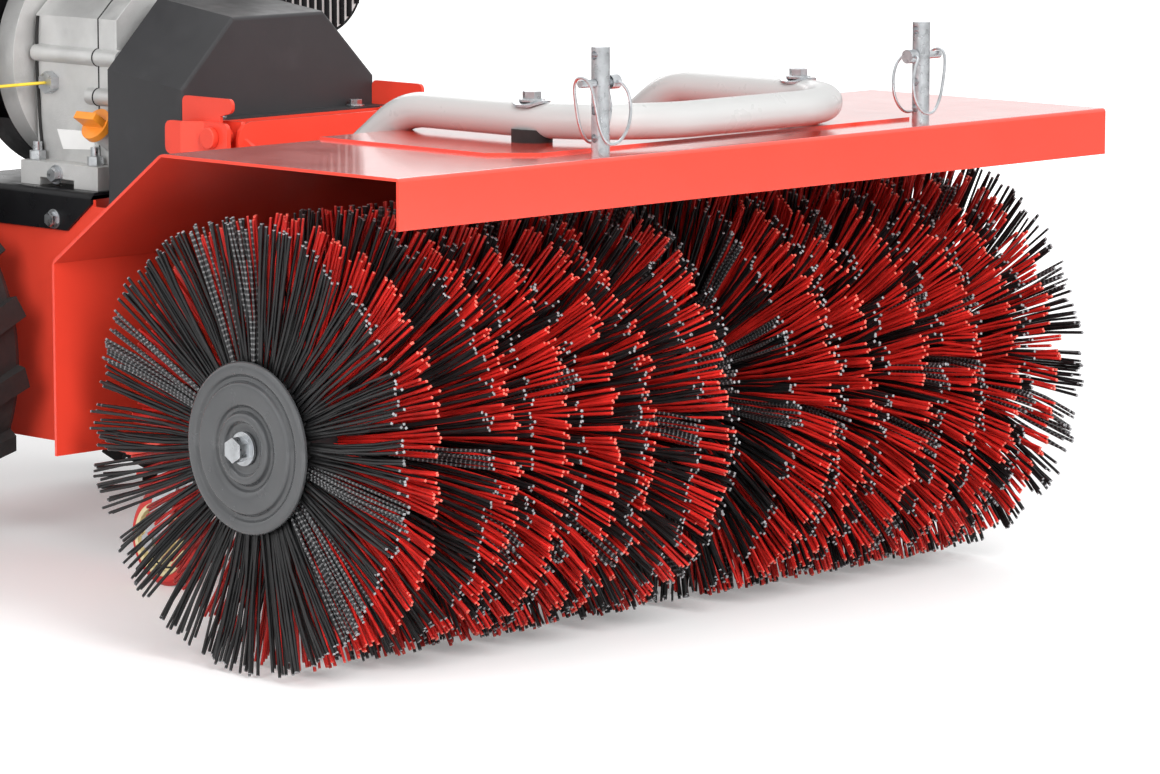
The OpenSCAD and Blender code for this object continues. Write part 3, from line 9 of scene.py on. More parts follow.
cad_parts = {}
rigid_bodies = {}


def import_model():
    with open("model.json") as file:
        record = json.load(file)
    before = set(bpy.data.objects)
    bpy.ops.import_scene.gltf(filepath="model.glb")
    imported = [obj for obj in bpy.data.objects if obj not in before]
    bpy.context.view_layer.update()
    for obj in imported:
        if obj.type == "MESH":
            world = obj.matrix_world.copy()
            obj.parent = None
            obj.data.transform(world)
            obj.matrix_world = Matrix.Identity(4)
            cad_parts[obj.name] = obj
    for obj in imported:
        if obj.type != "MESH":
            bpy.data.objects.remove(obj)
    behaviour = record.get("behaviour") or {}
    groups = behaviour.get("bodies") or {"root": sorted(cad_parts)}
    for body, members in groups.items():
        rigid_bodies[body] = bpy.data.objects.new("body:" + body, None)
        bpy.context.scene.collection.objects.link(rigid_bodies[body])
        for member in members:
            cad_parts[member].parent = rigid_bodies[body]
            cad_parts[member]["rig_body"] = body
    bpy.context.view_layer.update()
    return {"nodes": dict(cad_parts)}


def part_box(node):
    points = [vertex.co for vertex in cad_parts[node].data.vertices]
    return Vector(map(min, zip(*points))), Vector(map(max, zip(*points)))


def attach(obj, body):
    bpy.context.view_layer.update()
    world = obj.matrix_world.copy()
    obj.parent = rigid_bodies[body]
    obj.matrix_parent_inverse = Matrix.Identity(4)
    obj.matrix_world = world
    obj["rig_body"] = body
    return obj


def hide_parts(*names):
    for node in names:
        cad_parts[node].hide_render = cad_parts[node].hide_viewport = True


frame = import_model()
nodes = frame["nodes"]
shaftLow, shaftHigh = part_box("brush_shaft")
axisY = (shaftLow.y + shaftHigh.y) / 2
axisZ = (shaftLow.z + shaftHigh.z) / 2
brushCentre = Vector((0, axisY, axisZ))
bothSides = (("left", -1), ("right", 1))
rng = np.random.default_rng(11)
print("stage: frame loaded, nodes", len(nodes))


# Millimetres across, behind the brush axis and over the floor, to metres in the frame
def at(x, y, z):
    return Vector((x / 1000, y / 1000 + axisY, z / 1000))


def linked(name, data):
    thing = bpy.data.objects.new(name, data)
    bpy.context.scene.collection.objects.link(thing)
    return thing


def aim(thing, look):
    thing.location = at(*look["place"])
    thing.rotation_euler = (at(*look["target"]) - thing.location).to_track_quat("-Z", "Y").to_euler()


# Camera at the photograph's place

cameraLook = {
    "place": (-2823.95, -2756.38, 755.20), "target": (-31.69, 0, 184.76), "lens": 153.8, "sensor": 36, "reach": 200,
}

cameraData = bpy.data.cameras.new("camera")
cameraData.lens = cameraLook["lens"]
cameraData.sensor_width = cameraLook["sensor"]
cameraData.clip_end = cameraLook["reach"]
camera = linked("camera", cameraData)
aim(camera, cameraLook)
bpy.context.scene.camera = camera
bpy.context.scene.view_settings.view_transform = "Standard"


# Materials

def freshMaterial(name):
    material = bpy.data.materials.new(name)
    material.use_nodes = True
    tree = material.node_tree
    return material, tree, tree.nodes["Principled BSDF"]


def wire(tree, source, output, target, socket):
    tree.links.new(source.outputs[output], target.inputs[socket])


def mathNode(tree, operation):
    node = tree.nodes.new("ShaderNodeMath")
    node.operation = operation
    return node


def noiseNode(tree, coords, scale, detail):
    node = tree.nodes.new("ShaderNodeTexNoise")
    node.inputs["Scale"].default_value = scale
    node.inputs["Detail"].default_value = detail
    wire(tree, coords, "Object", node, "Vector")
    return node


def rangeNode(tree, source, low, high, fromLow=0.32, fromHigh=0.68):
    node = tree.nodes.new("ShaderNodeMapRange")
    node.inputs["From Min"].default_value = fromLow
    node.inputs["From Max"].default_value = fromHigh
    node.inputs["To Min"].default_value = low
    node.inputs["To Max"].default_value = high
    wire(tree, source, 0, node, "Value")
    return node


def mixNode(tree, factor, first, second):
    node = tree.nodes.new("ShaderNodeMix")
    node.data_type = "RGBA"
    node.inputs["A"].default_value = (*first, 1)
    node.inputs["B"].default_value = (*second, 1)
    wire(tree, factor, 0, node, "Factor")
    return node


# What a finish has unless its row says otherwise
lookBase = {
    "shade": 0.06, "patch": 9, "patchDetail": 5, "grain": 40, "grainDetail": 6, "metal": 0, "specular": 0.5,
    "coat": 0, "coatRough": 0.08, "bumpStrength": 0.5, "bumpDetail": 3, "scuffDetail": 9, "scuffEdge": (0.6, 0.74),
}


# One finish: colour drift, roughness drift, and surface grain or scuffs where the row has them
def makeLook(name, row):
    look = {**lookBase, **row}
    material, tree, shader = freshMaterial(name)
    coords = tree.nodes.new("ShaderNodeTexCoord")
    color, shade = look["color"], look["shade"]
    drift = rangeNode(tree, noiseNode(tree, coords, look["patch"], look["patchDetail"]), 0, 1)
    dark, pale = [c * (1 - shade) for c in color], [min(1, c * (1 + shade)) for c in color]
    tone = mixNode(tree, drift, dark, pale)
    if "scuff" in look:
        scuffs = noiseNode(tree, coords, look["scuffScale"], look["scuffDetail"])
        amount = rangeNode(tree, scuffs, 0, look["scuffAmount"], *look["scuffEdge"])
        worn = mixNode(tree, amount, color, look["scuff"])
        wire(tree, tone, "Result", worn, "A")
        tone = worn
    wire(tree, tone, "Result", shader, "Base Color")
    grain = noiseNode(tree, coords, look["grain"], look["grainDetail"])
    wire(tree, rangeNode(tree, grain, *look["rough"]), 0, shader, "Roughness")
    shader.inputs["Metallic"].default_value = look["metal"]
    shader.inputs["Specular IOR Level"].default_value = look["specular"]
    shader.inputs["Coat Weight"].default_value = look["coat"]
    shader.inputs["Coat Roughness"].default_value = look["coatRough"]
    if "bump" in look:
        bump = tree.nodes.new("ShaderNodeBump")
        bump.inputs["Strength"].default_value = look["bumpStrength"]
        bump.inputs["Distance"].default_value = look["bump"]
        wire(tree, noiseNode(tree, coords, look["bumpScale"], look["bumpDetail"]), 0, bump, "Height")
        wire(tree, bump, "Normal", shader, "Normal")
    return material


lookTable = {
    "hoodRed": {
        "color": (0.72, 0.052, 0.028), "shade": 0.05, "patch": 7, "rough": (0.18, 0.27), "grain": 25,
        "specular": 0.24, "bump": 0.00010, "bumpScale": 420, "bumpStrength": 0.25, "coat": 1.0, "coatRough": 0.10,
    },
    "frameRed": {
        "color": (0.73, 0.058, 0.032), "shade": 0.06, "patch": 10, "rough": (0.28, 0.40), "grain": 40,
        "bump": 0.00012, "bumpScale": 500, "bumpStrength": 0.3, "coat": 0.25, "coatRough": 0.15,
        "scuff": (0.45, 0.03, 0.025), "scuffScale": 16, "scuffAmount": 0.35,
    },
    "coverBlack": {
        "color": (0.033, 0.033, 0.035), "shade": 0.12, "patch": 8, "rough": (0.40, 0.52), "grain": 60,
        "specular": 0.42, "bump": 0.00016, "bumpScale": 900, "bumpStrength": 0.35,
        "scuff": (0.055, 0.055, 0.058), "scuffScale": 26, "scuffAmount": 0.4,
    },
    "plateBlack": {
        "color": (0.008, 0.008, 0.009), "shade": 0.15, "patch": 14, "rough": (0.24, 0.38), "grain": 50,
        "specular": 0.2, "bump": 0.00012, "bumpScale": 700, "bumpStrength": 0.3,
    },
    "barGrey": {
        "color": (0.45, 0.45, 0.445), "shade": 0.015, "patch": 9, "rough": (0.26, 0.36), "grain": 50,
        "bump": 0.00008, "bumpScale": 600, "bumpStrength": 0.25, "coat": 0.3, "coatRough": 0.15,
    },
    "discGrey": {
        "color": (0.058, 0.060, 0.063), "shade": 0.10, "patch": 30, "rough": (0.20, 0.28), "grain": 70,
        "bump": 0.00010, "bumpScale": 900, "bumpStrength": 0.25, "coat": 0.6, "coatRough": 0.12,
    },
    "zinc": {
        "color": (0.60, 0.62, 0.64), "shade": 0.14, "patch": 120, "rough": (0.22, 0.42), "grain": 180, "metal": 1,
        "bump": 0.00010, "bumpScale": 500, "bumpStrength": 0.25,
        "scuff": (0.40, 0.42, 0.44), "scuffScale": 90, "scuffAmount": 0.5,
    },
    "steel": {
        "color": (0.46, 0.46, 0.47), "shade": 0.10, "patch": 40, "rough": (0.26, 0.44), "grain": 120, "metal": 1,
        "bump": 0.00006, "bumpScale": 800, "bumpStrength": 0.3,
    },
    "castAlloy": {
        "color": (0.68, 0.68, 0.67), "shade": 0.10, "patch": 22, "rough": (0.42, 0.60), "grain": 90, "metal": 0.6,
        "bump": 0.00045, "bumpScale": 620, "bumpStrength": 0.45, "bumpDetail": 5,
        "scuff": (0.50, 0.50, 0.495), "scuffScale": 30, "scuffAmount": 0.5,
    },
    "coreBlack": {
        "color": (0.015, 0.015, 0.016), "shade": 0.2, "patch": 40, "rough": (0.4, 0.6), "grain": 80,
        "bump": 0.0001, "bumpScale": 600,
    },
    "blackPlastic": {
        "color": (0.020, 0.020, 0.021), "shade": 0.15, "patch": 18, "rough": (0.42, 0.58), "grain": 90,
        "bump": 0.00022, "bumpScale": 1500, "bumpStrength": 0.4,
    },
    "redPlastic": {
        "color": (0.62, 0.030, 0.026), "shade": 0.06, "patch": 25, "rough": (0.30, 0.42), "grain": 60,
        "bump": 0.00010, "bumpScale": 900, "coat": 0.15,
    },
    "creamPlastic": {
        "color": (0.80, 0.70, 0.42), "shade": 0.05, "patch": 30, "rough": (0.28, 0.42), "grain": 60,
        "bump": 0.0001, "bumpScale": 700, "coat": 0.15,
    },
    "orangePlastic": {
        "color": (0.88, 0.30, 0.03), "shade": 0.06, "patch": 60, "rough": (0.30, 0.42), "grain": 70,
        "bump": 0.0001, "bumpScale": 900, "coat": 0.2,
    },
    "yellowWire": {
        "color": (0.85, 0.62, 0.06), "shade": 0.06, "patch": 80, "rough": (0.30, 0.40), "grain": 90,
        "bump": 0.00005, "bumpScale": 900,
    },
    "rubber": {
        "color": (0.016, 0.016, 0.016), "shade": 0.2, "patch": 50, "rough": (0.55, 0.75), "grain": 120,
        "bump": 0.0003, "bumpScale": 700, "bumpStrength": 0.5,
    },
    "tyreRubber": {
        "color": (0.020, 0.020, 0.020), "shade": 0.2, "patch": 16, "rough": (0.58, 0.80), "grain": 60,
        "bump": 0.0006, "bumpScale": 260, "bumpStrength": 0.5, "bumpDetail": 6,
        "scuff": (0.06, 0.057, 0.053), "scuffScale": 22, "scuffAmount": 0.5,
    },
    "exhaust": {
        "color": (0.30, 0.28, 0.26), "shade": 0.2, "patch": 24, "rough": (0.4, 0.6), "grain": 60, "metal": 1,
        "bump": 0.0002, "bumpScale": 400,
    },
    "labelWhite": {
        "color": (0.93, 0.93, 0.92), "shade": 0.02, "patch": 40, "rough": (0.30, 0.40), "grain": 60,
        "bump": 0.00003, "bumpScale": 500,
    },
    "redStrand": {
        "color": (0.60, 0.022, 0.017), "shade": 0.22, "patch": 60, "rough": (0.30, 0.42), "grain": 200,
        "specular": 0.45,
    },
    "redTip": {
        "color": (0.80, 0.15, 0.11), "shade": 0.25, "patch": 90, "rough": (0.45, 0.60), "grain": 200,
    },
    "blackStrand": {
        "color": (0.013, 0.013, 0.0135), "shade": 0.35, "patch": 60, "rough": (0.30, 0.44), "grain": 200,
        "specular": 0.4,
    },
    "blackTip": {
        "color": (0.27, 0.27, 0.28), "shade": 0.4, "patch": 90, "rough": (0.40, 0.60), "grain": 200,
    },
}
looks = {name: makeLook(name, look) for name, look in lookTable.items()}


# Crimped strands: pale beads along the strand, a painted glint on each crimp, from its length in the second map
# coordinate

crimpLook = {
    "color": (0.018, 0.018, 0.019), "paintedGlint": (0.20, 0.20, 0.205), "glintPitch": 0.0042, "glintEdge": (0.2, 1),
    "rough": (0.25, 0.4), "specular": 0.6,
}


def crimpGlintLook(name, look):
    material = makeLook(name, look)
    tree = material.node_tree
    coords = tree.nodes.new("ShaderNodeTexCoord")
    split = tree.nodes.new("ShaderNodeSeparateXYZ")
    wire(tree, coords, "UV", split, "Vector")
    turn = mathNode(tree, "MULTIPLY")
    turn.inputs[1].default_value = 2 * math.pi / look["glintPitch"]
    wire(tree, split, "Y", turn, 0)
    paintedGlint = mathNode(tree, "SINE")
    wire(tree, turn, 0, paintedGlint, 0)
    # Painted glints: the strand's colour turns pale in beads along its length
    tone = mixNode(tree, rangeNode(tree, paintedGlint, 0, 1, *look["glintEdge"]), look["color"], look["paintedGlint"])
    wire(tree, tone, "Result", tree.nodes["Principled BSDF"], "Base Color")
    return material


looks["crimpStrandGlints"] = crimpGlintLook("crimpStrandGlints", crimpLook)
print("stage: materials", len(looks))


# Mesh helpers

def place(name, mesh, lookNames, body, stands=(), smooth=42, weighted=False):
    for look in lookNames:
        mesh.materials.append(looks[look])
    mesh.shade_smooth()
    mesh.set_sharp_from_angle(angle=math.radians(smooth))
    piece = linked(name, mesh)
    if weighted:
        even = piece.modifiers.new("even", "WEIGHTED_NORMAL")
        even.keep_sharp = True
        even.weight = 60
    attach(piece, body)
    if stands:
        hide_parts(*stands)


def dress(node, look):
    data = nodes[node].data
    data.materials.clear()
    data.materials.append(looks[look])


def meshFrom(name, bm):
    bmesh.ops.recalc_face_normals(bm, faces=bm.faces)
    mesh = bpy.data.meshes.new(name)
    bm.to_mesh(mesh)
    bm.free()
    return mesh


def vertsIn(geom):
    return [g for g in geom if isinstance(g, bmesh.types.BMVert)]


# Path with its corners rounded to the given radii
def filletPath(points, radii, steps):
    path = [points[0]]
    for a, v, b, r in zip(points[:-2], points[1:-1], points[2:], radii):
        h, k = (v - a).normalized(), (b - v).normalized()
        turn = h.angle(k)
        out = -(k - h * k.dot(h)).normalized()
        centre = v - h * (r * math.tan(turn / 2)) - out * r
        for i in range(steps + 1):
            part = turn * i / steps
            path.append(centre + (out * math.cos(part) + h * math.sin(part)) * r)
    return path + [points[-1]]


# Curve through all the points, each span cut into fine steps
def smoothCurve(points, fine):
    p = np.array([points[0], *points, points[-1]], float)
    out = []
    for a, b, c, d in zip(p, p[1:], p[2:], p[3:]):
        for j in range(fine):
            t = j / fine
            square, cube = 2 * a - 5 * b + 4 * c - d, 3 * b - a - 3 * c + d
            out.append(0.5 * (2 * b + (c - a) * t + square * t * t + cube * t ** 3))
    return out + [p[-1]]


# Profile of (radius, height) pairs in millimetres, spun about an axis through a point
def spinForm(bm, profile, centre, axis, steps, closed=True):
    axis = Vector(axis).normalized()
    side = axis.orthogonal().normalized()
    verts = [bm.verts.new(centre + axis * (h / 1000) + side * (r / 1000)) for r, h in profile]
    ends = verts[1:] + verts[:1] if closed else verts[1:]
    edges = [bm.edges.new(pair) for pair in zip(verts, ends)]
    bmesh.ops.spin(bm, geom=verts + edges, cent=centre, axis=axis, angle=2 * math.pi, steps=steps, use_merge=True)
    if not closed:
        bmesh.ops.holes_fill(bm, edges=[e for e in bm.edges if e.is_boundary])


# Round tube along a path, its radius in millimetres: a disc drawn out from point to point
def tubeForm(bm, path, radius, sides):
    last = len(path) - 1
    heads = [(path[min(i + 1, last)] - path[max(i - 1, 0)]).normalized() for i in range(len(path))]
    side = heads[0].orthogonal().normalized()
    spots = []
    for p, h in zip(path, heads):
        side = (side - h * side.dot(h)).normalized()
        turn = Matrix((h.cross(side), side, -h)).transposed()
        spots.append(Matrix.Translation(p) @ turn.to_4x4())
    disc = bmesh.ops.create_circle(bm, cap_ends=True, radius=radius / 1000, segments=sides, matrix=spots[0])
    edges = list(disc["verts"][0].link_faces[0].edges)
    for spot, following in zip(spots, spots[1:]):
        geom = bmesh.ops.extrude_edge_only(bm, edges=edges)["geom"]
        bmesh.ops.transform(bm, matrix=following @ spot.inverted(), verts=vertsIn(geom))
        edges = [g for g in geom if isinstance(g, bmesh.types.BMEdge) and g.is_boundary]
    bmesh.ops.contextual_create(bm, geom=edges)


def tubeMesh(name, path, radius, sides):
    bm = bmesh.new()
    tubeForm(bm, path, radius, sides)
    return meshFrom(name, bm)


# Flat outline drawn out into a thin plate
def plateMesh(name, outline, way):
    bm = bmesh.new()
    face = bm.faces.new([bm.verts.new(p) for p in outline])
    geom = bmesh.ops.extrude_face_region(bm, geom=[face])["geom"]
    bmesh.ops.translate(bm, vec=way, verts=vertsIn(geom))
    return meshFrom(name, bm)


# Copies of CAD nodes with their folds and cut edges rounded, in metres and degrees

softLook = {
    "merge": 0.000004, "flat": 0.6, "speck": 0.000002, "foldAngles": (20, 110), "mild": 62, "foldSegments": 5,
}


def roundEdges(bm, edges, width, segments, clamp):
    bmesh.ops.bevel(
        bm, geom=edges, offset=width, offset_type="OFFSET", affect="EDGES", segments=segments, profile=0.5,
        material=-1, clamp_overlap=clamp,
    )


# Long outer folds between two wide faces, the steep ones first
def roundFolds(bm, fold):
    low, high = [math.radians(a) for a in softLook["foldAngles"]]
    span = {f: f.calc_area() / f.calc_perimeter() for f in bm.faces}
    folds = [
        e for e in bm.edges
        if len(e.link_faces) == 2 and e.is_convex and low < e.calc_face_angle(0) < high
        and min(span[f] for f in e.link_faces) > fold["span"] and e.calc_length() > fold["length"]
    ]
    mild = [e for e in folds if e.calc_face_angle(0) < math.radians(softLook["mild"])]
    steep = [e for e in folds if e not in mild]
    for edges, width in ((steep, fold["steep"]), (mild, fold["width"])):
        roundEdges(bm, [e for e in edges if e.is_valid], width, softLook["foldSegments"], clamp=False)


def softened(node, look, width, fold=None, angle=28, segments=2, smooth=42):
    bm = bmesh.new()
    bm.from_mesh(nodes[node].data)
    bmesh.ops.remove_doubles(bm, verts=bm.verts, dist=softLook["merge"])
    bmesh.ops.dissolve_limit(bm, angle_limit=math.radians(softLook["flat"]), verts=bm.verts, edges=bm.edges)
    bmesh.ops.dissolve_degenerate(bm, edges=bm.edges, dist=softLook["speck"])
    if fold:
        roundFolds(bm, fold)
    sharp = [e for e in bm.edges if len(e.link_faces) == 2 and e.calc_face_angle(0) > math.radians(angle)]
    roundEdges(bm, sharp, width, segments, clamp=True)
    name = node + "Form"
    place(name, meshFrom(name, bm), [look], nodes[node]["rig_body"], (node,), smooth, weighted=True)


# Brush: strands in tufts, in rows of black and red by turns from the outer end of each half

brushLook = {
    "rings": 7, "inner": 43, "outer": 385,
    "coreRadius": 61, "coreSteps": 72, "boreSink": 8, "grooveSink": 3, "groove": (0.2, 5, 7),
    "rootRadius": 57, "rootEnds": (378, 50), "rootSpread": (4.2, 3.2),
    "tipRadius": 174.6, "tipSpread": 3.8, "tipInset": 0.4, "tipOff": (1.9, 2.7), "tipLimits": (29, 396),
    "tufts": 42, "tuftJitter": 0.12, "tuftLean": (2.8, 2.6), "strands": 8, "fan": 2.45,
    "bend": 3.0, "ownBend": 0.6, "bow": 2.4, "strandRadius": 1.3, "levels": (0, 0.38, 0.72, 0.993, 1),
    "rowColors": ("black", "red"), "crimpShare": {"black": 0.14, "red": 0.0},
    "rows": {
        -1: (388, 350, 296, 273, 255, 218, 202, 163, 137, 127, 76, 44, 32),
        1: (390, 359, 327, 309, 265, 256, 214, 194, 145, 128, 94, 84, 34),
    },
}


# Point at a turn about the brush axis: along the axis, out from it and across
def aboutAxis(turn, along, out, across):
    c, s = math.cos(turn), math.sin(turn)
    return (along, c * out - s * across, s * out + c * across)


# Roots, tips and bends of the strands of one colour; a tuft opens like a fan from its hole
def strandArrays(side, color):
    s = brushLook
    rowTips = s["rows"][side]
    rootFrom, rootTo = s["rootEnds"]
    tipLow, tipHigh = s["tipLimits"]
    roots, tips, bends, crimped = [], [], [], []
    for row, rowTip in enumerate(rowTips):
        phase = rng.uniform(0, 2 * math.pi)
        if s["rowColors"][row % 2] != color:
            continue
        rowRoot = rootFrom + (rootTo - rootFrom) * row / (len(rowTips) - 1)
        for tuft in range(s["tufts"]):
            turn = phase + 2 * math.pi * (tuft + rng.uniform(-s["tuftJitter"], s["tuftJitter"])) / s["tufts"]
            lean = rng.normal(0, s["tuftLean"])
            isCrimped = rng.uniform() < s["crimpShare"][color]
            sway = rng.normal(0, s["bend"], 2)
            for strand in range(s["strands"]):
                a = s["rootSpread"][0] * (2 * (strand + rng.uniform()) / s["strands"] - 1)
                x = s["rootSpread"][1] * rng.uniform(-1, 1)
                tipA = a * s["fan"] + lean[0] + rng.normal(0, s["tipOff"][0])
                tipX = rowTip + (x + lean[1] + rng.normal(0, s["tipOff"][1]))
                reach = s["tipRadius"] - abs(rng.normal(0, s["tipSpread"])) - s["tipInset"]
                hold = math.sqrt(reach * reach - tipA * tipA)
                roots.append(aboutAxis(turn, rowRoot + x, s["rootRadius"], a))
                tips.append(aboutAxis(turn, min(max(tipX, tipLow), tipHigh), hold, tipA))
                b = sway[0] + rng.normal(0, s["bend"] * s["ownBend"])
                c = sway[1] + rng.normal(0, s["bend"] * s["ownBend"])
                bends.append(aboutAxis(turn, c, 0, b))
                crimped.append(isCrimped)
    mirror = [side, 1, 1]
    return np.array(roots) * mirror, np.array(tips) * mirror, np.array(bends) * mirror, np.array(crimped)


# All the strands of one colour and side in one mesh, from arrays, as there are thousands: plain, pale tip or crimped
# with painted glints
def strandMesh(name, side, color):
    s = brushLook
    sides = 4  # a strand is a square tube, so each face of it is a quad
    roots, tips, bends, crimped = strandArrays(side, color)
    count = len(roots)
    levels = np.array(s["levels"])
    rows = len(levels)
    way = tips - roots
    length = np.linalg.norm(way, axis=1)
    head = way / length[:, None]
    first = np.array([1.0, 0, 0]) - head * head[:, :1]
    first /= np.linalg.norm(first, axis=1)[:, None]
    second = np.cross(head, first)
    spin = rng.uniform(0, 2 * math.pi / sides, count)
    sag = levels * (1 - levels) * s["bow"]
    grid = roots[:, None, :] + way[:, None, :] * levels[None, :, None] + bends[:, None, :] * sag[None, :, None]
    angle = spin[:, None] + np.arange(sides)[None, :] * 2 * math.pi / sides
    offset = first[:, None, :] * np.cos(angle)[..., None] + second[:, None, :] * np.sin(angle)[..., None]
    verts = grid[:, :, None, :] + offset[:, None, :, :] * s["strandRadius"]
    verts = verts.reshape(-1, 3) / 1000 + np.array([0, axisY, axisZ])
    quads, marks = [], []
    for i in range(rows - 1):
        for k in range(sides):
            n = (k + 1) % sides
            quads.append((i * sides + k, i * sides + n, (i + 1) * sides + n, (i + 1) * sides + k))
            marks.append(1 if i == rows - 2 else 0)
    quads.append(tuple((rows - 1) * sides + k for k in range(sides)))
    marks.append(1)
    corners = (np.array(quads)[None, :, :] + (np.arange(count) * rows * sides)[:, None, None]).reshape(-1)
    faces = count * len(quads)
    mesh = bpy.data.meshes.new(name)
    mesh.vertices.add(len(verts))
    mesh.vertices.foreach_set("co", verts.reshape(-1).astype(np.float32))
    mesh.loops.add(len(corners))
    mesh.loops.foreach_set("vertex_index", corners.astype(np.int32))
    mesh.polygons.add(faces)
    mesh.polygons.foreach_set("loop_start", np.arange(0, faces * sides, sides, dtype=np.int32))
    slots = np.tile(marks, count).reshape(count, -1)
    slots = np.where(crimped[:, None] & (slots == 0), 2, slots)
    mesh.polygons.foreach_set("material_index", slots.reshape(-1).astype(np.int32))
    layer = mesh.uv_layers.new(name="strand")
    vCoord = (levels[None, :] * length[:, None] / 1000).repeat(sides, axis=1).reshape(-1)
    uCoord = np.tile(np.arange(sides) / sides, count * rows)
    coords = np.stack([uCoord[corners], vCoord[corners]], axis=1)
    layer.data.foreach_set("uv", coords.reshape(-1).astype(np.float32))
    mesh.update(calc_edges=True)
    mesh.validate()
    return mesh


# Core of one half, a groove at each joint of its rings
def brushCore(name, side):
    s = brushLook
    pitch = (s["outer"] - s["inner"]) / s["rings"]
    bore, low, high = s["coreRadius"] - s["boreSink"], s["coreRadius"] - s["grooveSink"], s["coreRadius"]
    edge, flat, land = s["groove"]
    profile = [(bore, s["inner"])]
    for ring in range(s["rings"]):
        a = s["inner"] + ring * pitch
        b = a + pitch
        profile += [(low, a + edge), (low, a + flat), (high, a + land)]
        profile += [(high, b - land), (low, b - flat), (low, b - edge)]
    profile.append((bore, s["outer"]))
    bm = bmesh.new()
    spinForm(bm, profile, brushCentre, (side, 0, 0), s["coreSteps"])
    return meshFrom(name, bm)


for sideName, side in bothSides:
    name = "brushCore" + sideName.capitalize()
    place(name, brushCore(name, side), ["coreBlack"], "brush", ("brush_" + sideName,))
    for color in brushLook["rowColors"]:
        name = color + "Bristles" + sideName.capitalize()
        third = "crimpStrandGlints" if color == "black" else "redStrand"
        strandLooks = [color + "Strand", color + "Tip", third]
        place(name, strandMesh(name, side, color), strandLooks, "brush", smooth=180)
print("stage: bristles")


# Pressed end discs

discLook = {
    "profile": [
        (8, 3.4), (14, 3.4), (17.5, 3.2), (19.5, 3.8), (21, 6.8), (22.6, 7.7), (25.2, 7.7), (26.8, 6.8), (28, 3.6),
        (29.2, 2.5), (30.8, 2.5), (32, 3.4), (33.4, 5.2), (36, 6.1), (42, 6.6), (47.6, 6.8), (49.6, 6.2), (50.9, 3.4),
        (52.2, 2.3), (54, 2.3), (55.2, 3.2), (56.6, 4.6), (59, 5.1), (63, 5.0), (64.8, 4.2), (65.9, 2.6),
    ],
    "back": [(65.4, 0.3), (60, 0.2), (8, 0.2)], "fine": 3, "steps": 112,
}

discRows = smoothCurve(discLook["profile"], discLook["fine"]) + discLook["back"]
discRows = [(r, brushLook["outer"] + h) for r, h in discRows]
discs = bmesh.new()
for side in (-1, 1):
    spinForm(discs, discRows, brushCentre, (side, 0, 0), discLook["steps"])
place("endDiscs", meshFrom("endDiscs", discs), ["discGrey"], "brush", ("brush_end_discs",), smooth=50)
softened("brush_end_bolts", "zinc", width=0.0007, angle=35)

# Drive parts keep their CAD form and take a finish
for node in (
    "brush_shaft", "worm_wheel", "input_shaft", "brush_pulley", "crankshaft", "engine_pulley", "traction_shaft",
    "wheel_axle", "shaft_bearings",
):
    dress(node, "steel")
for node in ("brush_belt", "traction_belt"):
    dress(node, "rubber")
print("stage: brush ends")


# Sheet metal of the hood, the hitch and the chassis

sheetFold = {"span": 0.006, "length": 0.02, "width": 0.004, "steep": 0.003}
plateFold = {**sheetFold, "width": 0.006, "steep": 0.006}
coverFold = {**sheetFold, "width": 0.007}

softened("hood", "hoodRed", width=0.0007, fold=sheetFold)
softened("head_adapter", "frameRed", width=0.0009)
softened("chassis", "frameRed", width=0.0008)
softened("castor_mounts", "frameRed", width=0.0008)
softened("engine_plate", "plateBlack", width=0.0007, fold=plateFold)
softened("belt_cover", "coverBlack", width=0.0004, fold=coverFold)
softened("hitch_rod", "frameRed", width=0.0012)
softened("brush_gearbox", "plateBlack", width=0.0015)
softened("drive_gearbox", "plateBlack", width=0.0015)
print("stage: sheet metal")


# Guard bar, its seats and the accessory posts

barLook = {
    "width": 304, "radius": 14, "front": 149, "rise": 19, "top": 392.4, "topRear": 77, "rear": 207, "fall": 92.6,
    "sink": 0.4, "foot": 84, "knee": 72, "corner": 95, "bendSteps": 14, "sides": 32, "boltY": -67,
}


# Tube from a foot on the hood's rear slope, over the top and across the front, to the other foot
def barPath():
    s = barLook
    run = s["rear"] - s["topRear"]
    slant = math.hypot(run, s["fall"])
    off = s["radius"] - s["sink"]
    seat = (s["topRear"] + off * s["fall"] / slant, s["top"] + off * run / slant)
    z = s["top"] + s["rise"]
    kneeY = seat[0] - (z - seat[1]) * run / s["fall"]
    foot = (seat[0] + s["foot"] * run / slant, seat[1] - s["foot"] * s["fall"] / slant)
    w = s["width"] / 2
    points = [at(w, *foot), at(w, kneeY, z), at(w, -s["front"], z)]
    points += [at(-w, -s["front"], z), at(-w, kneeY, z), at(-w, *foot)]
    knee, corner = s["knee"] / 1000, s["corner"] / 1000
    return filletPath(points, [knee, corner, corner, knee], s["bendSteps"])


bar = tubeMesh("guardBar", barPath(), barLook["radius"], barLook["sides"])
place("guardBar", bar, ["barGrey"], "frame", ("guard_bar",), smooth=60)

# Washers that follow the tube, under the two bar bolts

washerLook = {
    "inner": 4.6, "outer": 13.5, "rings": 4, "sides": 40, "thick": 1.8, "stretch": 1.15, "wrap": 11.5,
    "follow": 0.55, "sink": 0.4,
}


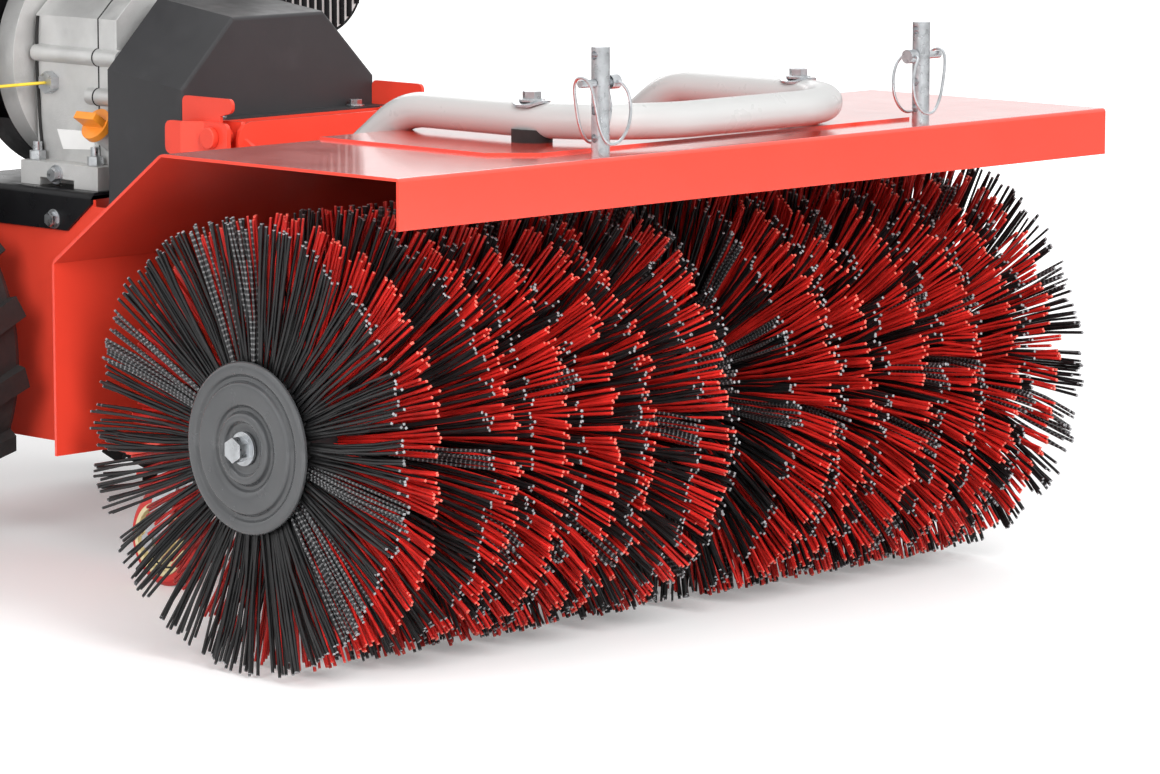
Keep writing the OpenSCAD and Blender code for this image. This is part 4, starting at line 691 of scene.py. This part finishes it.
def saddleWashers():
    s = washerLook
    radii = np.linspace(s["inner"], s["outer"], s["rings"])
    profile = [(r, 0) for r in radii] + [(r, s["thick"]) for r in radii[::-1]]
    bm = bmesh.new()
    spinForm(bm, profile, Vector(), (0, 0, 1), s["sides"])
    for v in bm.verts:
        x, y, z = v.co * 1000
        drop = math.sqrt(barLook["radius"] ** 2 - min(abs(x), s["wrap"]) ** 2) - barLook["radius"]
        z += barLook["top"] + barLook["rise"] + barLook["radius"] + drop * s["follow"] - s["sink"]
        v.co = at(x - barLook["width"] / 2, barLook["boltY"] + y * s["stretch"], z)
    copy = bmesh.ops.duplicate(bm, geom=bm.verts[:] + bm.edges[:] + bm.faces[:])["geom"]
    bmesh.ops.translate(bm, vec=(barLook["width"] / 1000, 0, 0), verts=vertsIn(copy))
    return meshFrom("saddleWashers", bm)


place("saddleWashers", saddleWashers(), ["zinc"], "frame", smooth=50)
softened("bar_buffers", "rubber", width=0.0015)
softened("frame_bolts", "zinc", width=0.0006, angle=35)
softened("accessory_posts", "zinc", width=0.0006, angle=40)
softened("lock_pin_left", "zinc", width=0.0006, angle=40)
softened("lock_pin_right", "zinc", width=0.0006, angle=40)

bailLook = {
    "x": 183, "y": -171, "z": 447.6, "radius": 1.22, "sides": 12, "fine": 6,
    "loop": [
        (-13, -2.8, 0), (-13, -5.9, 0), (-13, -7.2, 0), (-14.6, -9.4, -2), (-19, -10.4, -8.5), (-21.5, -10.6, -20),
        (-18.5, -10.6, -34), (-9, -10.6, -44), (3, -10.6, -44.5), (11, -10.6, -34), (15.5, -10.4, -18),
        (18.5, -9.2, -4), (20, -5.5, 2.9), (20.5, 0, 4.6),
    ],
}


# Wire loop from one side of the pin's head, under the post and over the pin's tip, to the head's other side
def bailPath(side):
    s = bailLook
    loop = s["loop"] + [(x, -y, z) for x, y, z in s["loop"][-2::-1]]
    return [at(side * (s["x"] + x), s["y"] + y, s["z"] + z) for x, y, z in smoothCurve(loop, s["fine"])]


for sideName, side in bothSides:
    bail = tubeMesh("bailWire", bailPath(side), bailLook["radius"], bailLook["sides"])
    name = "bailWire" + sideName.capitalize()
    place(name, bail, ["zinc"], "bail_" + sideName, ("pin_bail_" + sideName,), smooth=60)
print("stage: bar and posts")


# Engine

softened("crankcase", "castAlloy", width=0.0028, segments=3)
softened("crankcase_cover", "castAlloy", width=0.0022, segments=3)
softened("cylinder", "castAlloy", width=0.0008)
softened("fan_shroud", "blackPlastic", width=0.0010)
softened("recoil_starter", "blackPlastic", width=0.0008)
softened("fuel_tank", "blackPlastic", width=0.0060, segments=4)
softened("air_cleaner", "blackPlastic", width=0.0030, segments=3)
softened("muffler_guard", "plateBlack", width=0.0005)
softened("engine_fasteners", "zinc", width=0.0006, angle=35)
softened("fuel_cap", "blackPlastic", width=0.0012)
softened("oil_dipstick", "orangePlastic", width=0.0012)
softened("sensor_wire", "yellowWire", width=0.00001, angle=170, smooth=70)
dress("muffler", "exhaust")

guardLook = {
    "x": 150, "y": 501, "z": 481, "radius": 47, "cut": 23, "shield": (0.05, 0.5), "steps": 48,
    "ribs": 10, "pitch": 9, "ribRadius": 2.8, "ribSteps": 4, "ribSides": 12,
}


# Bright shield on the front of the muffler's guard, with upright ribs across it
def guardShield():
    s = guardLook
    low = math.asin(s["cut"] / s["radius"])
    turns = [math.pi - low + (math.pi + 2 * low) * i / s["steps"] for i in range(s["steps"] + 1)]
    back, front = s["shield"]
    edge = [at(s["x"] + s["radius"] * math.cos(a), s["y"] - back, s["z"] + s["radius"] * math.sin(a)) for a in turns]
    return plateMesh("guardShield", edge, (0, (back - front) / 1000, 0))


def guardRibs():
    s = guardLook
    ribs = bmesh.new()
    for i in range(s["ribs"]):
        across = (i - (s["ribs"] - 1) / 2) * s["pitch"]
        reach = math.sqrt(s["radius"] ** 2 - across ** 2)
        low, high = s["z"] - reach, s["z"] + min(reach, s["cut"])
        heights = [low + (high - low) * k / s["ribSteps"] for k in range(s["ribSteps"] + 1)]
        path = [at(s["x"] + across, s["y"] - s["shield"][1], z) for z in heights]
        tubeForm(ribs, path, s["ribRadius"], s["ribSides"])
    return meshFrom("guardRibs", ribs)


place("guardShield", guardShield(), ["castAlloy"], "frame", smooth=30)
place("guardRibs", guardRibs(), ["plateBlack"], "frame", smooth=60)

caseLook = {
    "front": 535, "rear": 619, "x": 80, "crankZ": 415, "shoulder": 40, "top": 78,
    "gasketFoot": 330.5, "gasket": 0.75, "bosses": (388, 422), "bossRadius": 7.5, "bossSteps": 12, "lineSides": 8,
    "sticker": [(592, 356.5), (549, 357.2), (538, 342), (584, 339.6)], "stickerLift": (0.05, 0.5),
    "grooveShade": [
        (611, 331), (612.5, 345), (614.5, 362), (615.5, 380), (617, 398), (617.6, 412), (617.6, 425), (617, 440),
        (615.5, 454),
    ],
    "grooveShadeLift": 0.9, "grooveShadeRadius": 1.5, "grooveShadeFine": 5,
    "ring": [(73, 0.6), (77.5, 0.6), (77.5, 3.4), (73, 3.4)], "ringSteps": 72,
}


# Gasket line round the joint of crankcase and cover, out round each boss
def gasketPath():
    s = caseLook
    near, far = -s["x"], s["x"]
    shoulderZ, topZ = s["crankZ"] + s["shoulder"], s["crankZ"] + s["top"]
    turns = [math.pi * i / s["bossSteps"] for i in range(s["bossSteps"] + 1)]
    points = [(near, s["gasketFoot"])]
    for z in s["bosses"]:
        points += [(near - s["bossRadius"] * math.sin(a), z - s["bossRadius"] * math.cos(a)) for a in turns]
    points += [(near, shoulderZ), (near + s["shoulder"], topZ), (far - s["shoulder"], topZ)]
    points += [(far, shoulderZ), (far, s["gasketFoot"])]
    return [at(x, s["front"], z) for x, z in points]


gasket = tubeMesh("caseGasket", gasketPath(), caseLook["gasket"], caseLook["lineSides"])
place("caseGasket", gasket, ["rubber"], "frame", smooth=60)
# Black ring in the groove between crankcase and bell: painted shade of the deep groove
bellShadeRing = bmesh.new()
spinForm(bellShadeRing, caseLook["ring"], at(0, caseLook["rear"], caseLook["crankZ"]), (0, 1, 0), caseLook["ringSteps"])
place("bellGrooveShade", meshFrom("bellGrooveShade", bellShadeRing), ["rubber"], "frame", smooth=60)
back, front = caseLook["stickerLift"]
outline = [at(-caseLook["x"] - back, y, z) for y, z in caseLook["sticker"]]
sticker = plateMesh("blankSticker", outline, ((back - front) / 1000, 0, 0))
place("blankSticker", sticker, ["labelWhite"], "frame", smooth=30)
# Black line on the case's side along its rear edge: painted shade of the groove before the bell
grooveShadeX = -caseLook["x"] - caseLook["grooveShadeLift"]
grooveShadePath = [at(grooveShadeX, y, z) for y, z in smoothCurve(caseLook["grooveShade"], caseLook["grooveShadeFine"])]
grooveShade = tubeMesh("caseGrooveShade", grooveShadePath, caseLook["grooveShadeRadius"], caseLook["lineSides"])
place("caseGrooveShade", grooveShade, ["rubber"], "frame", smooth=60)

tankLook = {
    "x": -80, "y": 629, "z": 606, "width": 180, "length": 150, "corner": 22, "cornerSteps": 6, "flange": 2.2,
    "sides": 8,
}


# Weld flange round the middle of the fuel tank
def tankPath():
    s = tankLook
    points = []
    for sx, sy, start in ((1, 1, 0), (-1, 1, 90), (-1, -1, 180), (1, -1, 270)):
        x, y = sx * (s["width"] / 2 - s["corner"]), sy * (s["length"] / 2 - s["corner"])
        for k in range(s["cornerSteps"] + 1):
            turn = math.radians(start + 90 * k / s["cornerSteps"])
            points.append((x + s["corner"] * math.cos(turn), y + s["corner"] * math.sin(turn)))
    return [at(s["x"] + x, s["y"] + y, s["z"]) for x, y in points + points[:2]]


flange = tubeMesh("tankFlange", tankPath(), tankLook["flange"], tankLook["sides"])
place("tankFlange", flange, ["blackPlastic"], nodes["fuel_tank"]["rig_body"], smooth=60)
print("stage: engine")


# Wheels

softened("drive_rims", "barGrey", width=0.0012)
softened("drive_tyres", "tyreRubber", width=0.0025)
for sideName in ("left", "right"):
    softened("castor_fork_" + sideName, "zinc", width=0.0008)
    softened("castor_rim_" + sideName, "creamPlastic", width=0.0006)
    softened("castor_tyre_" + sideName, "redPlastic", width=0.0010)

# Hex bolts with washers that hold each rim's web to its hub flange

rimLook = {
    "x": 190.5, "y": 720, "z": 160, "ring": 52, "bolts": 5, "phase": 0.25,
    "washer": [(10.5, -0.4), (10.5, 1.6)], "washerSteps": 24,
    "head": [(7.4, 1.6), (7.4, 6.4), (6.2, 7.4), (0.4, 7.4)], "headSteps": 6,
}
rimBolts = bmesh.new()
for side in (-1, 1):
    for k in range(rimLook["bolts"]):
        turn = 2 * math.pi * (k + rimLook["phase"]) / rimLook["bolts"]
        y, z = rimLook["y"] + rimLook["ring"] * math.cos(turn), rimLook["z"] + rimLook["ring"] * math.sin(turn)
        for form in ("washer", "head"):
            spot = at(side * rimLook["x"], y, z)
            spinForm(rimBolts, rimLook[form], spot, (side, 0, 0), rimLook[form + "Steps"], closed=False)
place("rimBolts", meshFrom("rimBolts", rimBolts), ["zinc"], nodes["drive_rims"]["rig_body"], smooth=30)

# Dark ring line on both faces of each castor wheel, inside the rim's lip: painted shade of the recess

castorLook = {
    "x": 178, "y": 332, "z": 40, "steps": 64,
    "shadeBand": [(23.7, 5.9), (23.7, 6.4), (25.3, 6.4), (25.3, 5.9)],
}
for sideName, side in bothSides:
    lines = bmesh.new()
    for face in (-1, 1):
        spot = at(side * castorLook["x"], castorLook["y"], castorLook["z"])
        spinForm(lines, castorLook["shadeBand"], spot, (face, 0, 0), castorLook["steps"])
    name = "castorRecessShade" + sideName.capitalize()
    place(name, meshFrom("castorRecessShade", lines), ["rubber"], "castor_wheel_" + sideName)
print("stage: wheels")


# Handlebar and controls

softened("handlebar", "plateBlack", width=0.0005, angle=50, smooth=50)

# Rubber grips with ribs, a collar at the front and a rounded closed end

gripLook = {
    "x": 235, "y": 1330, "z": 930, "run": 240, "climb": 85, "steps": 40,
    "collar": [(12.6, -120), (17.2, -120), (18.4, -118.8), (18.4, -115), (17.0, -113.5), (16.4, -112)],
    "rib": [(16.4, 0), (15.3, 0.8), (15.3, 2.2), (16.4, 3.0)], "ribFrom": -104, "ribs": 15, "pitch": 6,
    "end": [(16.4, 0.5), (15.4, 2.6), (13.0, 3.8), (0.4, 4), (0.4, 0.4), (12.6, 0.4)],
}

ribStarts = [gripLook["ribFrom"] + i * gripLook["pitch"] for i in range(gripLook["ribs"])]
gripRows = gripLook["collar"] + [(r, start + h) for start in ribStarts for r, h in gripLook["rib"]] + gripLook["end"]
grips = bmesh.new()
for side in (-1, 1):
    spot = at(side * gripLook["x"], gripLook["y"], gripLook["z"])
    axis = (0, gripLook["run"], gripLook["climb"])
    spinForm(grips, gripRows, spot, axis, gripLook["steps"])
gripBody = nodes["handle_grips"]["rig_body"]
place("ribbedGrips", meshFrom("ribbedGrips", grips), ["rubber"], gripBody, ("handle_grips",), smooth=35)
softened("control_panel", "blackPlastic", width=0.0030, segments=3)
softened("brush_lever", "redPlastic", width=0.0022, segments=3)
softened("drive_lever", "redPlastic", width=0.0022, segments=3)
softened("speed_lever", "blackPlastic", width=0.0006, angle=60)
softened("throttle_lever", "blackPlastic", width=0.0015)
print("stage: controls")


# Floor and light

stageLook = {
    "floorHalf": 60, "floorColor": 0.80, "floorRough": 0.55, "floorSpecular": 0.25, "paintedFloorGlow": (0.26, 1.0),
    "glowFrom": 0.8, "glowTo": 3.0, "worldLight": 0.24, "worldSeen": 1.0,
}


# White paper with a painted glow for the camera, seen brighter the further it lies from the machine
def makeFloor():
    s = stageLook
    bm = bmesh.new()
    bmesh.ops.create_grid(bm, x_segments=1, y_segments=1, size=s["floorHalf"])
    mesh = meshFrom("floor", bm)
    floor = linked("floor", mesh)
    material, tree, shader = freshMaterial("floorPaperPaintedGlow")
    shader.inputs["Base Color"].default_value = (*[s["floorColor"]] * 3, 1)
    shader.inputs["Roughness"].default_value = s["floorRough"]
    shader.inputs["Specular IOR Level"].default_value = s["floorSpecular"]
    coords = tree.nodes.new("ShaderNodeTexCoord")
    away = tree.nodes.new("ShaderNodeVectorMath")
    away.operation = "LENGTH"
    wire(tree, coords, "Object", away, 0)
    spread = tree.nodes.new("ShaderNodeMapRange")
    spread.interpolation_type = "SMOOTHSTEP"
    spread.inputs["From Min"].default_value = s["glowFrom"]
    spread.inputs["From Max"].default_value = s["glowTo"]
    spread.inputs["To Min"].default_value, spread.inputs["To Max"].default_value = s["paintedFloorGlow"]
    wire(tree, away, "Value", spread, "Value")
    # Painted glow: emission for camera rays only, weak near the machine and full white further off
    path = tree.nodes.new("ShaderNodeLightPath")
    paintedGlow = mathNode(tree, "MULTIPLY")
    wire(tree, path, "Is Camera Ray", paintedGlow, 0)
    wire(tree, spread, 0, paintedGlow, 1)
    shader.inputs["Emission Color"].default_value = (1, 1, 1, 1)
    wire(tree, paintedGlow, 0, shader, "Emission Strength")
    mesh.materials.append(material)


makeFloor()

# White surroundings, full for the camera and for gloss, weak as a light
world = bpy.data.worlds.new("studio")
bpy.context.scene.world = world
world.use_nodes = True
worldTree = world.node_tree
background = worldTree.nodes["Background"]
background.inputs["Color"].default_value = (1, 1, 1, 1)
worldPath = worldTree.nodes.new("ShaderNodeLightPath")
level = worldTree.nodes.new("ShaderNodeMapRange")
level.inputs["To Min"].default_value = stageLook["worldLight"]
level.inputs["To Max"].default_value = stageLook["worldSeen"]
wire(worldTree, worldPath, "Is Camera Ray", level, "Value")
most = mathNode(worldTree, "MAXIMUM")
wire(worldTree, worldPath, "Is Glossy Ray", most, 0)
wire(worldTree, level, 0, most, 1)
wire(worldTree, most, 0, background, "Strength")

lightTable = {
    "key": {"place": (-1000, -2700, 2000), "target": (0, 0, 250), "size": 1600, "power": 112, "mirrored": False},
    "front": {"place": (2000, -1900, 1500), "target": (350, 0, 250), "size": 2400, "power": 30, "mirrored": False},
    "end": {"place": (-2800, -500, 1300), "target": (-300, 100, 250), "size": 1400, "power": 56, "mirrored": False},
    "top": {"place": (200, 400, 3200), "target": (0, 200, 300), "size": 2600, "power": 20, "mirrored": True},
    "rear": {"place": (1600, 2600, 2200), "target": (0, 400, 300), "size": 1800, "power": 24, "mirrored": True},
}
for name, look in lightTable.items():
    data = bpy.data.lights.new(name, "AREA")
    data.size = look["size"] / 1000
    data.energy = look["power"]
    lamp = linked(name, data)
    lamp.visible_glossy = look["mirrored"]  # strong lamps stay out of the hood's gloss
    lamp.visible_camera = False
    aim(lamp, look)
print("stage: floor and light")

bpy.context.view_layer.update()
